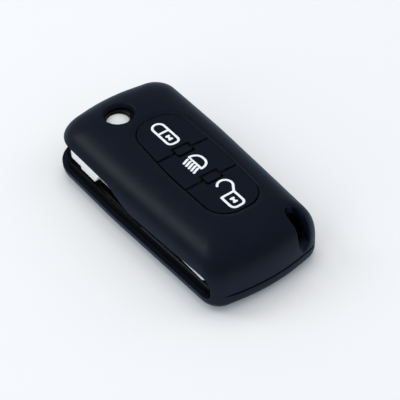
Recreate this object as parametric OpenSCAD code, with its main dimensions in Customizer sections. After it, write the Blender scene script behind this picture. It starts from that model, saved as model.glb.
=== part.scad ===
// A silicone cover fitted over a three-button folding car key.
// X runs across the width, +Y points to the pivot end, -Y to the key-ring end, +Z to the buttons.
// The origin is the middle of the footprint, on the face that the cover rests on.

/* [Cover form] */
// Length over the cover
cover_l = 78; // [74:1:84]
// Width over the cover
cover_w = 39.5; // [38.5:0.5:43]
// Height over the cover at its crown
cover_h = 18.5; // [18.5:0.5:21]
// Wall of the silicone sleeve
skin_t = 1.4; // [1.1:0.1:1.6]
// Gap between the sleeve and the key inside it
sleeve_fit = 0.1; // [0.05:0.01:0.2]
// Height of the widest line, where the upper shell meets the lower lip
belly_z = 5.2; // [4.9:0.1:5.5]
// Radius between the sides and the face that it rests on
base_edge_r = 3.8; // [2.6:0.1:4.2]
// Roundness of the upper shell: 2 is an ellipse, more is squarer
dome_power = 3.3; // [2.8:0.1:4.2]
// How far the middle of the pivot end stands beyond its corners
pivot_bulge = 3.2; // [1.6:0.1:3.8]
// How far the middle of the key-ring end stands beyond its corners
ring_bulge = 3; // [1.4:0.1:3.6]
// How far the right side draws in towards the key-ring end
right_taper = 2; // [1:0.1:3]
// How far the left side draws in towards the key-ring end
left_taper = 1.6; // [1:0.1:2.4]
// Distance of the widest point from the middle, towards the pivot end
widest_y = 8; // [2:1:12]
// Corner radius at the pivot end, on the side of the blade
pivot_left_r = 9.5; // [7:0.5:11]
// Corner radius at the pivot end, away from the blade
pivot_right_r = 7; // [5:0.5:9]
// Corner radius at the key-ring end, by the ring hole
ring_right_r = 6; // [4:0.5:9]
// Corner radius at the key-ring end, by the blade tip
ring_left_r = 6; // [4:0.5:8]

/* [Parting crease] */
// Height of the crease between the upper shell and the lower lip
crease_h = 0.5; // [0.3:0.1:0.8]
// Depth of the crease
crease_d = 0.5; // [0.2:0.1:0.8]
// How far the crease rises to meet the end of the blade slot
crease_rise = 1.6; // [0:0.1:2.4]
// Length over which it rises, from the left side
crease_rise_l = 10; // [6:0.5:14]

/* [Blade slot] */
// Height of the lower lip's edge
lip_z = 4.3; // [4:0.1:4.6]
// Height of the upper shell's edge beside the middle of the blade
shell_edge_z = 10.5; // [10.4:0.1:11]
// How much that edge rises towards the blade's tip
shell_edge_rise = 0.7; // [0.5:0.1:1]
// Height of the upper shell's edge beside the blade head
head_edge_z = 13; // [12.8:0.1:13.4]
// Place of the low end of the ramp between those two edges
ramp_start_y = -1; // [-3:0.5:1]
// Length of that ramp
ramp_l = 10; // [8:0.5:12]
// Distance of the slot's closed end from the key-ring end
slot_end_gap = 4.2; // [3.9:0.1:4.4]
// Corner radius of the slot's closed ends, under the upper shell
slot_r = 3.2; // [2:0.1:3.4]
// Corner radius of the slot's closed ends, at the lip
slot_low_r = 1.2; // [0.6:0.1:2]
// How far the slot runs past the blade head at the pivot end
slot_right_gap = 1.6; // [1:0.1:2]

/* [Button panel] */
// Gap between the oval panel and the pivot end
panel_pivot_gap = 20.2; // [19.8:0.2:20.8]
// Gap between the oval panel and the key-ring end
panel_ring_gap = 14.2; // [13.6:0.2:14.8]
// Gap between the oval panel and the widest point of the right side
panel_side_gap = 8.85; // [8.6:0.05:9.3]
// How much narrower the panel is at its ends
panel_end_narrowing = 2; // [1:0.1:3]
// Corner radius of the panel's ends
panel_r = 6.8; // [5.5:0.1:7]
// Distance of the panel's middle from the cover's middle, to the right
panel_x = 2.2; // [1.8:0.1:2.6]
// How far the pads lie below the crown
panel_sink = 0.45; // [0.3:0.05:0.55]
// Radius of the crown that the pads follow
crown_r = 135; // [110:5:200]
// Width of the soft rim that slopes down to the panel
panel_rim_w = 1.8; // [1:0.1:2.2]
// Gap between a pad and the rim
pad_gap = 0.3; // [0.2:0.05:0.4]
// Width of the grooves across the panel
groove_w = 0.4; // [0.3:0.05:0.5]
// Length of the middle pad, groove to groove
middle_pad_l = 13.2; // [12.6:0.1:13.8]
// Distance of the middle pad from the panel's middle, towards the key-ring end
middle_pad_y = 0.6; // [0.2:0.1:1]
// How far the panel leans out of line with the cover
panel_lean = 1.6; // [0:0.1:2.4]
// Travel of a pad
pad_travel = 0.3; // [0.2:0.05:0.3]
// Thickness of a pad's face where it reaches over the webs
pad_face_t = 0.35; // [0.3:0.05:0.35]
// How far a pad's face reaches past its block
pad_overhang = 0.55; // [0.45:0.05:0.7]
// Thickness of the webs between the pads
web_t = 0.25; // [0.2:0.05:0.3]
// Width of the webs between the pads
web_w = 1; // [0.8:0.1:1]
// Length of a divider bar, across the panel
bar_l = 4.2; // [3.6:0.1:4.8]
// Width of a divider bar
bar_w = 2.5; // [2.2:0.1:2.8]

/* [Release button] */
// Distance of the blade's pivot from the middle, towards the blade
pivot_x = 3.3; // [3:0.1:3.6]
// Distance of the blade's pivot from the pivot end
pivot_end_gap = 13; // [12.6:0.1:13.4]
// Radius of the release button
button_r = 3.4; // [3.3:0.1:3.5]
// How far the release button's crown lies below the cover's
button_sink = 2.5; // [2.2:0.1:2.8]
// How much the release button's face bulges
button_bulge = 0.6; // [0.4:0.1:0.8]
// Travel of the release button
button_travel = 1.8; // [1.2:0.1:1.9]
// Radius of the cover's hole over the release button
hole_r = 4.1; // [4:0.1:4.4]
// Width of the soft rim round that hole
hole_rim_w = 0.75; // [0.4:0.05:1]
// How far that hole sits off the release button, to the right
hole_shift = 0.4; // [0:0.1:0.4]

/* [Ring hole] */
// Width of the hole for the key ring
ring_hole_w = 3.6; // [2.8:0.1:3.8]
// Length of the hole for the key ring
ring_hole_l = 4.4; // [4:0.1:4.8]
// Distance of the hole's middle from the widest point of the right side
ring_hole_side_gap = 8.45; // [8.15:0.1:8.85]
// Distance of the hole's middle from the key-ring end
ring_hole_end_gap = 6.4; // [6.2:0.1:6.6]
// Radius of the channel that leads the ring over the end
dish_r = 2.2; // [1.9:0.1:2.3]
// Slope of that channel
dish_slope = 54; // [48:1:56]
// Distance of the channel's start from the key-ring end
dish_start = 6.6; // [6.2:0.1:7]

/* [Key housing] */
// Height of the joint between the two housings
housing_joint_z = 6.8; // [6.5:0.1:7]
// Floor of the lower housing
floor_t = 1.5; // [1.2:0.1:1.8]
// Roof of the upper housing
roof_t = 1.5; // [1.3:0.1:1.6]
// Wall between the electronics and the blade
bay_wall_t = 1.2; // [1:0.1:1.4]
// Gap between the space for the electronics and the housing's right side
bay_side_gap = 2.75; // [2.55:0.1:3.35]
// Gap between the space for the electronics and the cover's key-ring end
bay_ring_gap = 10.9; // [10.4:0.1:11.9]
// Corner radius of that space
bay_r = 2; // [1.5:0.5:3]
// Height of the low wall beside the folded blade
blade_wall_h = 0.9; // [0.5:0.1:0.9]

/* [Blade] */
// Width of the blade
blade_w = 7.6; // [7:0.1:8]
// Thickness of the blade
blade_t = 2; // [1.8:0.1:2]
// Height of the blade's lower face
blade_z = 8.1; // [8.1:0.1:8.2]
// Gap between the blade's tip and the cover's key-ring end
blade_end_gap = 5; // [4.8:0.2:8.6]
// Gap between the blade's outer edge and the cover's widest point
blade_side_gap = 3.45; // [3.25:0.1:3.85]
// Length of the blade's pointed end
blade_tip_l = 3.2; // [2:0.1:4]
// Width of the milled groove in the blade
blade_groove_w = 2.4; // [1.8:0.1:3]
// Depth of the milled groove in the blade
blade_groove_d = 0.5; // [0.3:0.05:0.7]

/* [Blade head] */
// Radius of the blade head round its pivot
head_r = 7.5; // [7.2:0.1:7.8]
// Gap between the blade head's outer face and the cover's widest point
head_side_gap = 2.05; // [1.95:0.1:2.25]
// Height of the blade head's lower face
head_z = 7.5; // [7.4:0.1:7.6]
// Thickness of the blade head
head_t = 4.7; // [4.6:0.1:4.8]
// Distance from the pivot to the head's end, where the blade leaves it
head_arm_l = 10.4; // [9.8:0.1:11]
// Distance from the pivot to the head's corner at the pivot end
head_corner_l = 4; // [3:0.1:4.4]

/* [Electronics] */
// Thickness of the circuit board
board_t = 1; // [0.8:0.1:1.2]
// Gap between the coin cell and the walls of its space
cell_side_gap = 3.3; // [2.9:0.1:3.8]
// Thickness of the coin cell
cell_t = 2; // [1.6:0.1:2.2]
// Side of a switch
switch_w = 4.5; // [4:0.5:5]
// Height of a switch
switch_h = 1.5; // [1.3:0.1:1.6]

/* [Hidden] */
$fn = 48;

// Overrun of every cut
over = 1;
// Longest side of a facet on the lofted forms
facet = 5;
// Radius of the bends that give the long sides their slight curve
side_bend_r = 250;
panel_side_r = 100;
// Share of half the width that the bend in the middle of each end takes on either side
end_bend_share = 0.45;
// Facets of the slight bend in each side of the panel
panel_side_steps = 2;
// Running clearance of turning and sliding pieces, and the wider gap round the rest
run_fit = 0.1;
clear_gap = 0.3;
// Facets of the lofted corners, of the base edge and of the dome
corner_steps = 7;
base_steps = 4;
dome_steps = 11;
dome_end_angle = 86;
// Least radius of the base edge inside the cover
least_edge_r = 0.6;

// Cover
crease_floor_share = 0.25;
half_w = cover_w / 2;
half_l = cover_l / 2;
spine = half_l - half_w;
key_inset = skin_t + sleeve_fit;

// Blade and pivot
pivot = [-pivot_x, half_l - pivot_end_gap];
head_top_z = head_z + head_t;
head_gap = 0.4;
pocket_roof_z = head_top_z + head_gap;
head_face_x = half_w - pivot_x - head_side_gap;
blade_outer_x = blade_side_gap - half_w;
blade_inner_x = blade_outer_x + blade_w;
head_end_y = pivot.y - head_arm_l;
head_root_l = 6.6;
head_slant = 1.7;
head_corner_r = 2.5;
head_relief_z = 0.9;
head_relief_l = 5;
head_relief_y = 2;
blade_tip_y = blade_end_gap - half_l;
blade_tip_w = 3;
pin_r = 0.8;
pin_fit = 0.02;
pin_inset_y = 3.6;
pocket_gap = 0.4;
pocket_right_x = pivot.x + head_face_x + pocket_gap * 2;
slot_right_x = pocket_right_x + slot_right_gap;
blade_wall_t = 0.8;
pocket_end_y = blade_tip_y - pocket_gap * 2;
slot_end_y = -half_l + slot_end_gap;

// Ring hole, and the ring channel's start above the inner face of the crown
ring_hole_x = half_w - ring_hole_side_gap;
dish_rise = 0.44;

// Release button
button_top_z = cover_h - button_sink;
button_skirt_t = 0.75;
button_skirt_z = 9.6;
ear_r = 4.7;
ear_w = 2.4;
ear_z = 11;
ear_h = 3.3;
ear_gap = 0.15;
spring_r = 2;
spring_wire_r = 0.35;
spring_turns = 6;
spring_steps = 12;
spring_sides = 6;
spring_end_gap = 0.05;
cap_t = 0.7;
spigot_r = 5.2;
spigot_seat_d = 0.5;
spigot_gap = 0.2;
spigot_h = head_z - housing_joint_z + spigot_seat_d - spigot_gap;
pivot_ring_t = 1.4;
hole_at = pivot + [hole_shift, 0];
spring_well_gap = 0.55;

// Panel and keys
panel_w = (half_w - panel_x - panel_side_gap) * 2;
panel_l = cover_l - panel_pivot_gap - panel_ring_gap;
panel_y = (panel_ring_gap - panel_pivot_gap) / 2;
crown_z = cover_h - panel_sink;
pad_base_z = cover_h - skin_t;
web_anchor = 0.4;
rim_depth_shares = [1, 0.72, 0.3, -0.2];
rim_width_shares = [0, 0.34, 0.68, 1];
pad_edges = [panel_l / 2 + over, middle_pad_l / 2 - middle_pad_y, -middle_pad_l / 2 - middle_pad_y,
    -panel_l / 2 - over];
key_mids = [for (i = [-1:1]) on_panel([0, -i * middle_pad_l - middle_pad_y])];
housing_top_z = cover_h - key_inset;
bay_top_z = housing_top_z - roof_t;
mat_t = 0.8;
mat_margin = 1.4;
mat_skirt_t = 0.8;
mat_fit = 0.1;
key_pip_r = 1.2;
key_gap = 0.25;

// Electronics
bay_left_x = blade_inner_x + pocket_gap + bay_wall_t;
bay_w = half_w - key_inset - bay_side_gap - bay_left_x;
bay_x = bay_left_x + bay_w / 2;
bay_pivot_end_y = pivot.y - head_r - pocket_gap - bay_wall_t;
bay_l = bay_pivot_end_y + half_l - bay_ring_gap;
bay_y = bay_pivot_end_y - bay_l / 2;
floor_z = key_inset + floor_t;
key_pip_l = 0.4;
plunger_rise = 0.4;
board_top_z = bay_top_z - mat_t - key_pip_l - plunger_rise - switch_h;
board_z = board_top_z - board_t;
board_fit = 0.3;
board_post_w = 2;
plunger_r = 1;
plunger_h = 1.3;
contact_t = 0.2;
contact_w = 4;
contact_tab = 1.2;
seat_t = 1.2;
cell_gap = 0.1;
cell_r = bay_w / 2 - cell_side_gap;
cell_shift = 1.6;
cell_top_z = board_z - contact_t - cell_gap;
cell_z = cell_top_z - cell_t;
cell_y = bay_y - cell_shift;
seat_z = cell_z - contact_t;
seat_share = 0.72;

// Housing screw
screw_r = 1;
screw_head_r = 1.6;
screw_head_h = 1.1;
screw_l = 8;
screw_side_gap = 4;
screw_bay_gap = 2.6;
screw_cover_t = 0.4;
screw_at = [half_w - key_inset - screw_side_gap, bay_pivot_end_y + screw_bay_gap];

// Vector helpers
function unit(v) = v / norm(v);
function clamp(v, lo, hi) = min(max(v, lo), hi);
function wrap(a) = a > 180 ? a - 360 : a < -180 ? a + 360 : a;

// Points of the arc that rounds corner p, given as [x, y, radius] and its own count of facets if any,
// between corners a and b
function corner_arc(a, p, b, usual_steps) =
    let (at = [p.x, p.y], u = unit([a.x, a.y] - at), v = unit([b.x, b.y] - at),
        half = acos(u * v) / 2, centre = at + unit(u + v) * p[2] / sin(half),
        s = at + u * p[2] / tan(half) - centre, e = at + v * p[2] / tan(half) - centre,
        start = atan2(s.y, s.x), turn = wrap(atan2(e.y, e.x) - start),
        steps = len(p) > 3 ? p[3] : usual_steps)
    [for (i = [0:steps]) centre + p[2] * [cos(start + turn * i / steps), sin(start + turn * i / steps)]];

// Outline through the rounded corners, each given as [x, y, radius]
function rounded(corners, steps = corner_steps) = let (n = len(corners))
    [for (i = [0:n - 1]) each corner_arc(corners[(i + n - 1) % n], corners[i], corners[(i + 1) % n], steps)];

// The same outline with its long sides cut into pieces no longer than step
function subdivide(pts, step) = let (n = len(pts))
    [for (i = [0:n - 1]) let (p = pts[i], q = pts[(i + 1) % n], m = max(1, ceil(norm(q - p) / step)))
        each [for (j = [0:m - 1]) p + (q - p) * j / m]];

// The outline moved and stretched to fill the given half sizes
function fill_half_sizes(pts, half_x, half_y) =
    let (xs = [for (p = pts) p.x], ys = [for (p = pts) p.y])
    [for (p = pts) [half_x * (2 * (p.x - min(xs)) / (max(xs) - min(xs)) - 1),
        half_y * (2 * (p.y - min(ys)) / (max(ys) - min(ys)) - 1)]];

// The outline moved inwards by d
function inset(pts, d) = let (n = len(pts))
    [for (i = [0:n - 1]) let (p = pts[i], t1 = unit(p - pts[(i + n - 1) % n]),
        t2 = unit(pts[(i + 1) % n] - p), n1 = [-t1.y, t1.x], n2 = [-t2.y, t2.x])
        p + (n1 + n2) * d / (1 + n1 * n2)];

// Nearest point of the cover's spine, which the dome closes on
function on_spine(p) = [0, clamp(p.y, -spine, spine)];

// The outline drawn in towards the spine by the share k, at height z
function ring(pts, k, z) = [for (p = pts) let (c = on_spine(p), q = c + (p - c) * k) [q.x, q.y, z]];

// Height of the cover's dome at p
function dome_z(p) = let (k = clamp(norm(p - on_spine(p)) / half_w, 0, 1))
    belly_z + (cover_h - belly_z) * pow(1 - pow(k, dome_power), 1 / dome_power);

// Radius of the bend in an end that stands out by bulge
function end_bend_r(bulge) = end_bend_share * pow(half_w, 2) / bulge;

// Plan of the cover, counter-clockwise
plan = fill_half_sizes(subdivide(rounded([
    [half_w, widest_y, side_bend_r],
    [half_w, half_l - pivot_bulge, pivot_right_r],
    [0, half_l, end_bend_r(pivot_bulge)],
    [-half_w, half_l - pivot_bulge, pivot_left_r],
    [-half_w, widest_y, side_bend_r],
    [left_taper - half_w, ring_bulge - half_l, ring_left_r],
    [0, -half_l, end_bend_r(ring_bulge)],
    [half_w - right_taper, ring_bulge - half_l, ring_right_r]]), facet), half_w, half_l);

// Rings of the rounded base edge, inset by d
function base_rings(d) = let (r = max(base_edge_r - d, least_edge_r))
    [for (i = [0:base_steps]) let (a = 90 * i / base_steps)
        ring(inset(plan, d + r * (1 - sin(a))), 1, d + r * (1 - cos(a)))];

// Rings of the dome, inset by d
function dome_rings(d) = let (rise = cover_h - d - belly_z, pts = inset(plan, d))
    [for (i = [0:dome_steps]) let (a = dome_end_angle * i / dome_steps,
        up = pow(sin(a) / sin(dome_end_angle), 2 / dome_power))
        ring(pts, pow(cos(a), 2 / dome_power), belly_z + rise * up)];

// Places in the plan that the crease passes: from the slot's end by the blade's tip, round the key-ring
// end and the right side, to the slot's end at the pivot
crease_path = let (n = len(plan), first = min([for (i = [0:n - 1]) if (plan[i].y < -half_w) i]))
    [for (i = [0:n - 1]) let (j = (first + i) % n, p = plan[j])
        if (p.y < -half_w ? p.x > -half_w && p.y < slot_end_y : p.x > slot_right_x) j];

// Height of the crease's middle at p, rising towards the blade's tip
function crease_z(p) = let (left = clamp(1 - (p.x + half_w) / crease_rise_l, 0, 1))
    belly_z + (p.y < -half_w ? crease_rise * pow(left, 2) : 0);

// Cutter of the crease, swept along the plan
module crease() {
    outer = inset(plan, -over);
    inner = inset(plan, crease_d);
    loft([for (i = crease_path) let (a = outer[i], b = inner[i], z = crease_z(plan[i]), h = crease_h)
        [[a.x, a.y, z - h], [b.x, b.y, z - h * crease_floor_share],
            [b.x, b.y, z + h * crease_floor_share], [a.x, a.y, z + h]]]);
}

// Solid through a list of rings
module loft(rings) {
    n = len(rings[0]);
    m = len(rings);
    polyhedron(
        points = [for (r = rings) each r],
        faces = concat(
            [[for (i = [0:n - 1]) i]],
            [[for (i = [n - 1:-1:0]) (m - 1) * n + i]],
            [for (j = [0:m - 2], i = [0:n - 1]) [j * n + i, (j + 1) * n + i, (j + 1) * n + (i + 1) % n]],
            [for (j = [0:m - 2], i = [0:n - 1]) [j * n + i, (j + 1) * n + (i + 1) % n, j * n + (i + 1) % n]]),
        convexity = 8);
}

// Prism on an outline, from z to z + h
module prism(pts, z, h) {
    translate([0, 0, z]) linear_extrude(h) polygon(pts);
}

// Box from low to high
module block(low, high) {
    translate(low) cube(high - low);
}

// Cylinder about a point of the plan, from z to z + h
module post(at, r, z, h) {
    translate([at.x, at.y, z]) cylinder(r = r, h = h);
}

// Layer under the crown that the pads follow, from z to z + t at its highest line
module crowned_layer(z, t) {
    difference() {
        crown_log(z + t);
        crown_log(z);
    }
}

// Long cylinder whose highest line is at z
module crown_log(z) {
    translate([0, 0, z - crown_r]) rotate([90, 0, 0])
        cylinder(r = crown_r, h = cover_l + over, center = true, $fn = 180);
}

// Channel that leads the key ring from its hole over the end, grown by d
module ring_dish(d) {
    translate([ring_hole_x, dish_start - half_l, cover_h - skin_t + dish_rise])
        rotate([90 + dish_slope, 0, 0]) {
            sphere(r = dish_r + d);
            cylinder(r = dish_r + d, h = cover_h);
        }
}

// Hole that the key ring passes through, grown by d
module ring_slot(d) {
    run = (ring_hole_l - ring_hole_w) / 2;
    translate([ring_hole_x, ring_hole_end_gap - half_l, -over]) {
        for (side = [-1, 1]) translate([0, side * run, 0])
            cylinder(r = ring_hole_w / 2 + d, h = cover_h + over * 2);
        block([-ring_hole_w / 2 - d, -run, 0], [ring_hole_w / 2 + d, run, cover_h + over * 2]);
    }
}

// Point of the plan that lies at p in the panel's own axes, and the same for a shape
function on_panel(p) = [panel_x + p.x * cos(panel_lean) + p.y * sin(panel_lean),
    panel_y + p.y * cos(panel_lean) - p.x * sin(panel_lean)];

module at_panel(z) {
    translate([panel_x, panel_y, z]) rotate(-panel_lean) children();
}

// Outline of the button panel, grown by d
function panel_outline(d) =
    let (hw = panel_w / 2 + d, hl = panel_l / 2 + d, end_hw = hw - panel_end_narrowing / 2, r = panel_r + d)
    [for (p = subdivide(rounded([
        [hw, 0, panel_side_r, panel_side_steps], [end_hw, hl, r], [-end_hw, hl, r],
        [-hw, 0, panel_side_r, panel_side_steps], [-end_hw, -hl, r], [end_hw, -hl, r]]), half_l))
        on_panel(p)];

// Cutter that lets the panel down into the dome with a soft rim
module panel_dish() {
    rings = [for (i = [0:len(rim_width_shares) - 1])
        [for (p = panel_outline(panel_rim_w * rim_width_shares[i]))
            [p.x, p.y, dome_z(p) - panel_sink * rim_depth_shares[i]]]];
    top = [for (p = rings[len(rings) - 1]) [p.x, p.y, cover_h + over]];
    bottom = [for (p = rings[0]) [p.x, p.y, pad_base_z - skin_t]];
    loft(concat([bottom], rings, [top]));
}

// Face of pad i, drawn in by d from its neighbours and from the rim
module pad_face(i, d) {
    side = groove_w / 2 + d;
    difference() {
        intersection() {
            polygon(panel_outline(-pad_gap - d));
            at_panel(0) translate([-half_w, pad_edges[i + 1] + side])
                square([cover_w, pad_edges[i] - pad_edges[i + 1] - side * 2]);
        }
        for (y = [pad_edges[1], pad_edges[2]]) at_panel(0) translate([0, y])
            square([bar_l + (groove_w + d) * 2, bar_w + (groove_w + d) * 2], center = true);
    }
}

// Pad i: a thin face over the webs, on a block that passes between them and ends inside the face
module pad(i) {
    intersection() {
        crowned_layer(crown_z - pad_face_t, pad_face_t);
        linear_extrude(cover_h + over) pad_face(i, 0);
    }
    intersection() {
        crowned_layer(pad_base_z, crown_z - pad_face_t / 2 - pad_base_z);
        linear_extrude(cover_h + over) pad_face(i, pad_overhang);
    }
}

// Webs and divider bars between the pads
module pad_webs() {
    for (y = [pad_edges[1], pad_edges[2]]) {
        intersection() {
            crowned_layer(pad_base_z, web_t);
            at_panel(0) block([-panel_w / 2 - web_anchor, y - web_w / 2, 0],
                [panel_w / 2 + web_anchor, y + web_w / 2, cover_h]);
        }
        intersection() {
            crowned_layer(pad_base_z, crown_z - pad_base_z);
            at_panel(0) block([-bar_l / 2, y - bar_w / 2, 0], [bar_l / 2, y + bar_w / 2, cover_h]);
        }
    }
}

// Side view of the blade slot, as [y, z]
function slot_profile() = rounded([
    [slot_end_y, lip_z, slot_low_r], [cover_l, lip_z, slot_low_r], [cover_l, head_edge_z, slot_low_r],
    [ramp_start_y + ramp_l, head_edge_z, half_w], [ramp_start_y, shell_edge_z, half_w],
    [slot_end_y, shell_edge_z + shell_edge_rise, slot_r]]);

// Opening of the blade slot: along the left side, and round the pivot end up to its right wall
module blade_slot() {
    reach = half_w - pivot_left_r;
    translate([-reach, 0, 0]) rotate([90, 0, -90]) linear_extrude(half_w)
        mirror([1, 0]) polygon(slot_profile());
    translate([0, half_l + over, 0]) rotate([90, 0, 0]) linear_extrude(pivot_end_gap)
        polygon(rounded([[-cover_w, lip_z, slot_low_r], [slot_right_x, lip_z, slot_low_r],
            [slot_right_x, head_edge_z, slot_r], [-cover_w, head_edge_z, slot_low_r]]));
}

module cover_skin() {
    color([0.12, 0.125, 0.15]) {
        difference() {
            loft(concat(base_rings(0), dome_rings(0)));
            difference() {
                loft(concat(base_rings(skin_t), dome_rings(skin_t)));
                ring_dish(skin_t);
            }
            ring_dish(0);
            ring_slot(0);
            crease();
            panel_dish();
            blade_slot();
            post(hole_at, hole_r, belly_z, cover_h);
            translate([hole_at.x, hole_at.y, cover_h - skin_t])
                cylinder(r1 = hole_r, r2 = hole_r + hole_rim_w, h = skin_t + over / 2);
        }
        pad_webs();
    }
}

module lock_pad() {
    color([0.13, 0.135, 0.16]) pad(0);
}

module light_pad() {
    color([0.13, 0.135, 0.16]) pad(1);
}

module unlock_pad() {
    color([0.13, 0.135, 0.16]) pad(2);
}

// Plan of the space that the blade and its head turn in
function pocket_outline() = let (wall_x = blade_inner_x + pocket_gap, low_y = pivot.y - head_r - pocket_gap)
    [[-cover_w, pocket_end_y], [wall_x, pocket_end_y], [wall_x, low_y],
        [pivot.x + head_corner_l, low_y], [pocket_right_x, pivot.y - head_corner_l - pocket_gap],
        [pocket_right_x, cover_l], [-cover_w, cover_l]];

// Plan of the space for the electronics, grown by d
function bay_outline(d) = let (hw = bay_w / 2 + d, hl = bay_l / 2 + d, r = max(bay_r + d, run_fit))
    [for (p = rounded([[hw, -hl, r], [hw, hl, r], [-hw, hl, r], [-hw, -hl, r]])) p + [bay_x, bay_y]];

module upper_housing() {
    color([0.05, 0.05, 0.055]) difference() {
        loft(dome_rings(key_inset));
        translate([-half_w, -half_l, 0]) cube([cover_w, cover_l, housing_joint_z]);
        ring_dish(key_inset);
        ring_slot(clear_gap);
        prism(pocket_outline(), housing_joint_z - over, pocket_roof_z - housing_joint_z + over);
        prism(bay_outline(0), housing_joint_z - over, board_top_z - housing_joint_z + over);
        prism(panel_outline(mat_margin + mat_fit), bay_top_z - mat_t - mat_fit, mat_t + mat_fit);
        intersection() {
            prism(panel_outline(mat_margin + mat_fit * 2), board_z, bay_top_z - mat_t - board_z);
            prism(bay_outline(-mat_fit), board_z, bay_top_z - mat_t - board_z);
        }
        prism(panel_outline(key_gap - pad_gap - pad_overhang), bay_top_z - mat_t / 2, roof_t + over);
        post(pivot, button_r + run_fit, pocket_roof_z - over, cover_h);
        post(pivot, ear_r + ear_gap, pocket_roof_z - over, ear_z + ear_h + clear_gap - pocket_roof_z + over);
        post(screw_at, screw_r + pin_fit, housing_joint_z - over, screw_l);
    }
}

module lower_housing() {
    ring_r = spigot_r + run_fit;
    hw = board_post_w / 2;
    inner = hw + bay_r / 2;
    color([0.05, 0.05, 0.055]) {
        difference() {
            loft(concat(base_rings(key_inset), [ring(inset(plan, key_inset), 1, housing_joint_z)]));
            ring_slot(clear_gap);
            ring_dish(key_inset);
            prism(bay_outline(0), floor_z, housing_joint_z);
            post(pivot, ring_r, housing_joint_z - spigot_seat_d, housing_joint_z);
            post(pivot, spring_r + spring_wire_r + spring_well_gap, floor_z, housing_joint_z);
            post(screw_at, screw_r + run_fit, 0, housing_joint_z + over);
            post(screw_at, screw_head_r + run_fit, 0, key_inset + screw_cover_t + screw_head_h);
        }
        difference() {
            post(pivot, ring_r + pivot_ring_t, housing_joint_z, head_z - spigot_gap - housing_joint_z);
            post(pivot, ring_r, housing_joint_z - over, head_z);
        }
        difference() {
            intersection() {
                prism(inset(plan, key_inset), housing_joint_z, blade_wall_h);
                block([-half_w, pocket_end_y, housing_joint_z],
                    [-pivot_x, ramp_start_y - blade_w / 2, blade_z]);
            }
            prism(inset(plan, key_inset + blade_wall_t), housing_joint_z - over, blade_wall_h + over * 2);
        }
        difference() {
            post([bay_x, cell_y], cell_r * seat_share + seat_t, floor_z, seat_z - floor_z);
            post([bay_x, cell_y], cell_r * seat_share, floor_z - over, seat_z);
            block([bay_x - contact_w / 2 - clear_gap, cell_y - cell_r * 2, seat_z - contact_w / 2],
                [bay_x + contact_w / 2 + clear_gap, cell_y, seat_z + over]);
        }
        for (sx = [-1, 1], sy = [-1, 1])
            translate([bay_x + sx * (bay_w / 2 - inner), bay_y + sy * (bay_l / 2 - inner), 0])
                block([-hw, -hw, floor_z], [hw, hw, board_z]);
    }
}

module keypad_mat() {
    plate_z = bay_top_z - mat_t;
    skirt_h = plate_z - board_top_z;
    color([0.2, 0.2, 0.22]) {
        difference() {
            prism(panel_outline(mat_margin), plate_z, mat_t);
            for (i = [0:2]) translate([0, 0, board_top_z]) linear_extrude(cover_h)
                pad_face(i, pad_overhang - key_gap);
        }
        difference() {
            intersection() {
                prism(panel_outline(mat_margin), board_top_z, skirt_h);
                prism(bay_outline(-mat_fit * 2), board_top_z, skirt_h);
            }
            intersection() {
                prism(panel_outline(mat_margin - mat_skirt_t), board_top_z - over, skirt_h + over * 2);
                prism(bay_outline(-mat_fit * 2 - mat_skirt_t), board_top_z - over, skirt_h + over * 2);
            }
        }
    }
}

// Rubber key i of the car key, with the pip that presses its switch
module rubber_key(i) {
    plunger_top_z = board_top_z + switch_h + plunger_rise;
    base_z = bay_top_z - mat_t + pad_travel + run_fit;
    color([0.2, 0.2, 0.22]) {
        intersection() {
            crown_log(pad_base_z);
            translate([0, 0, base_z]) linear_extrude(cover_h) pad_face(i, pad_overhang);
        }
        post(key_mids[i], key_pip_r, plunger_top_z, base_z - plunger_top_z);
    }
}

module lock_key() {
    rubber_key(0);
}

module light_key() {
    rubber_key(1);
}

module unlock_key() {
    rubber_key(2);
}

module circuit_board() {
    color([0.1, 0.32, 0.18]) prism(bay_outline(-board_fit), board_z, board_t);
}

module switch_bodies() {
    color([0.75, 0.75, 0.73]) for (at = key_mids) difference() {
        block([at.x - switch_w / 2, at.y - switch_w / 2, board_top_z],
            [at.x + switch_w / 2, at.y + switch_w / 2, board_top_z + switch_h]);
        post(at, plunger_r + run_fit, board_top_z - over, switch_h + over * 2);
    }
}

// Plunger of switch i
module plunger(i) {
    color([0.9, 0.9, 0.88]) post(key_mids[i], plunger_r,
        board_top_z + switch_h + plunger_rise - plunger_h, plunger_h);
}

module lock_plunger() {
    plunger(0);
}

module light_plunger() {
    plunger(1);
}

module unlock_plunger() {
    plunger(2);
}

module controller_chip() {
    chip_w = 5;
    chip_h = 1;
    chip_x = bay_x + bay_w / 2 - chip_w;
    chip_y = cell_y + cell_r + chip_w / 2;
    color([0.08, 0.08, 0.09]) block([chip_x - chip_w / 2, chip_y - chip_w / 2, board_z - chip_h],
        [chip_x + chip_w / 2, chip_y + chip_w / 2, board_z]);
}

module crystal() {
    crystal_w = 3.2;
    crystal_l = 2.4;
    crystal_h = 0.9;
    low = [bay_x + bay_w / 2 - crystal_w * 2, bay_y + bay_l / 2 - crystal_w * 2, board_z - crystal_h];
    color([0.78, 0.78, 0.8]) block(low, low + [crystal_w, crystal_l, crystal_h]);
}

module transponder() {
    transponder_w = 6;
    transponder_l = 11;
    transponder_t = 2.6;
    low = [bay_x + bay_w / 2 - transponder_w - clear_gap * 4,
        bay_y + bay_l / 2 - transponder_l - board_post_w - bay_r, floor_z];
    color([0.1, 0.1, 0.1]) block(low, low + [transponder_w, transponder_l, transponder_t]);
}

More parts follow.
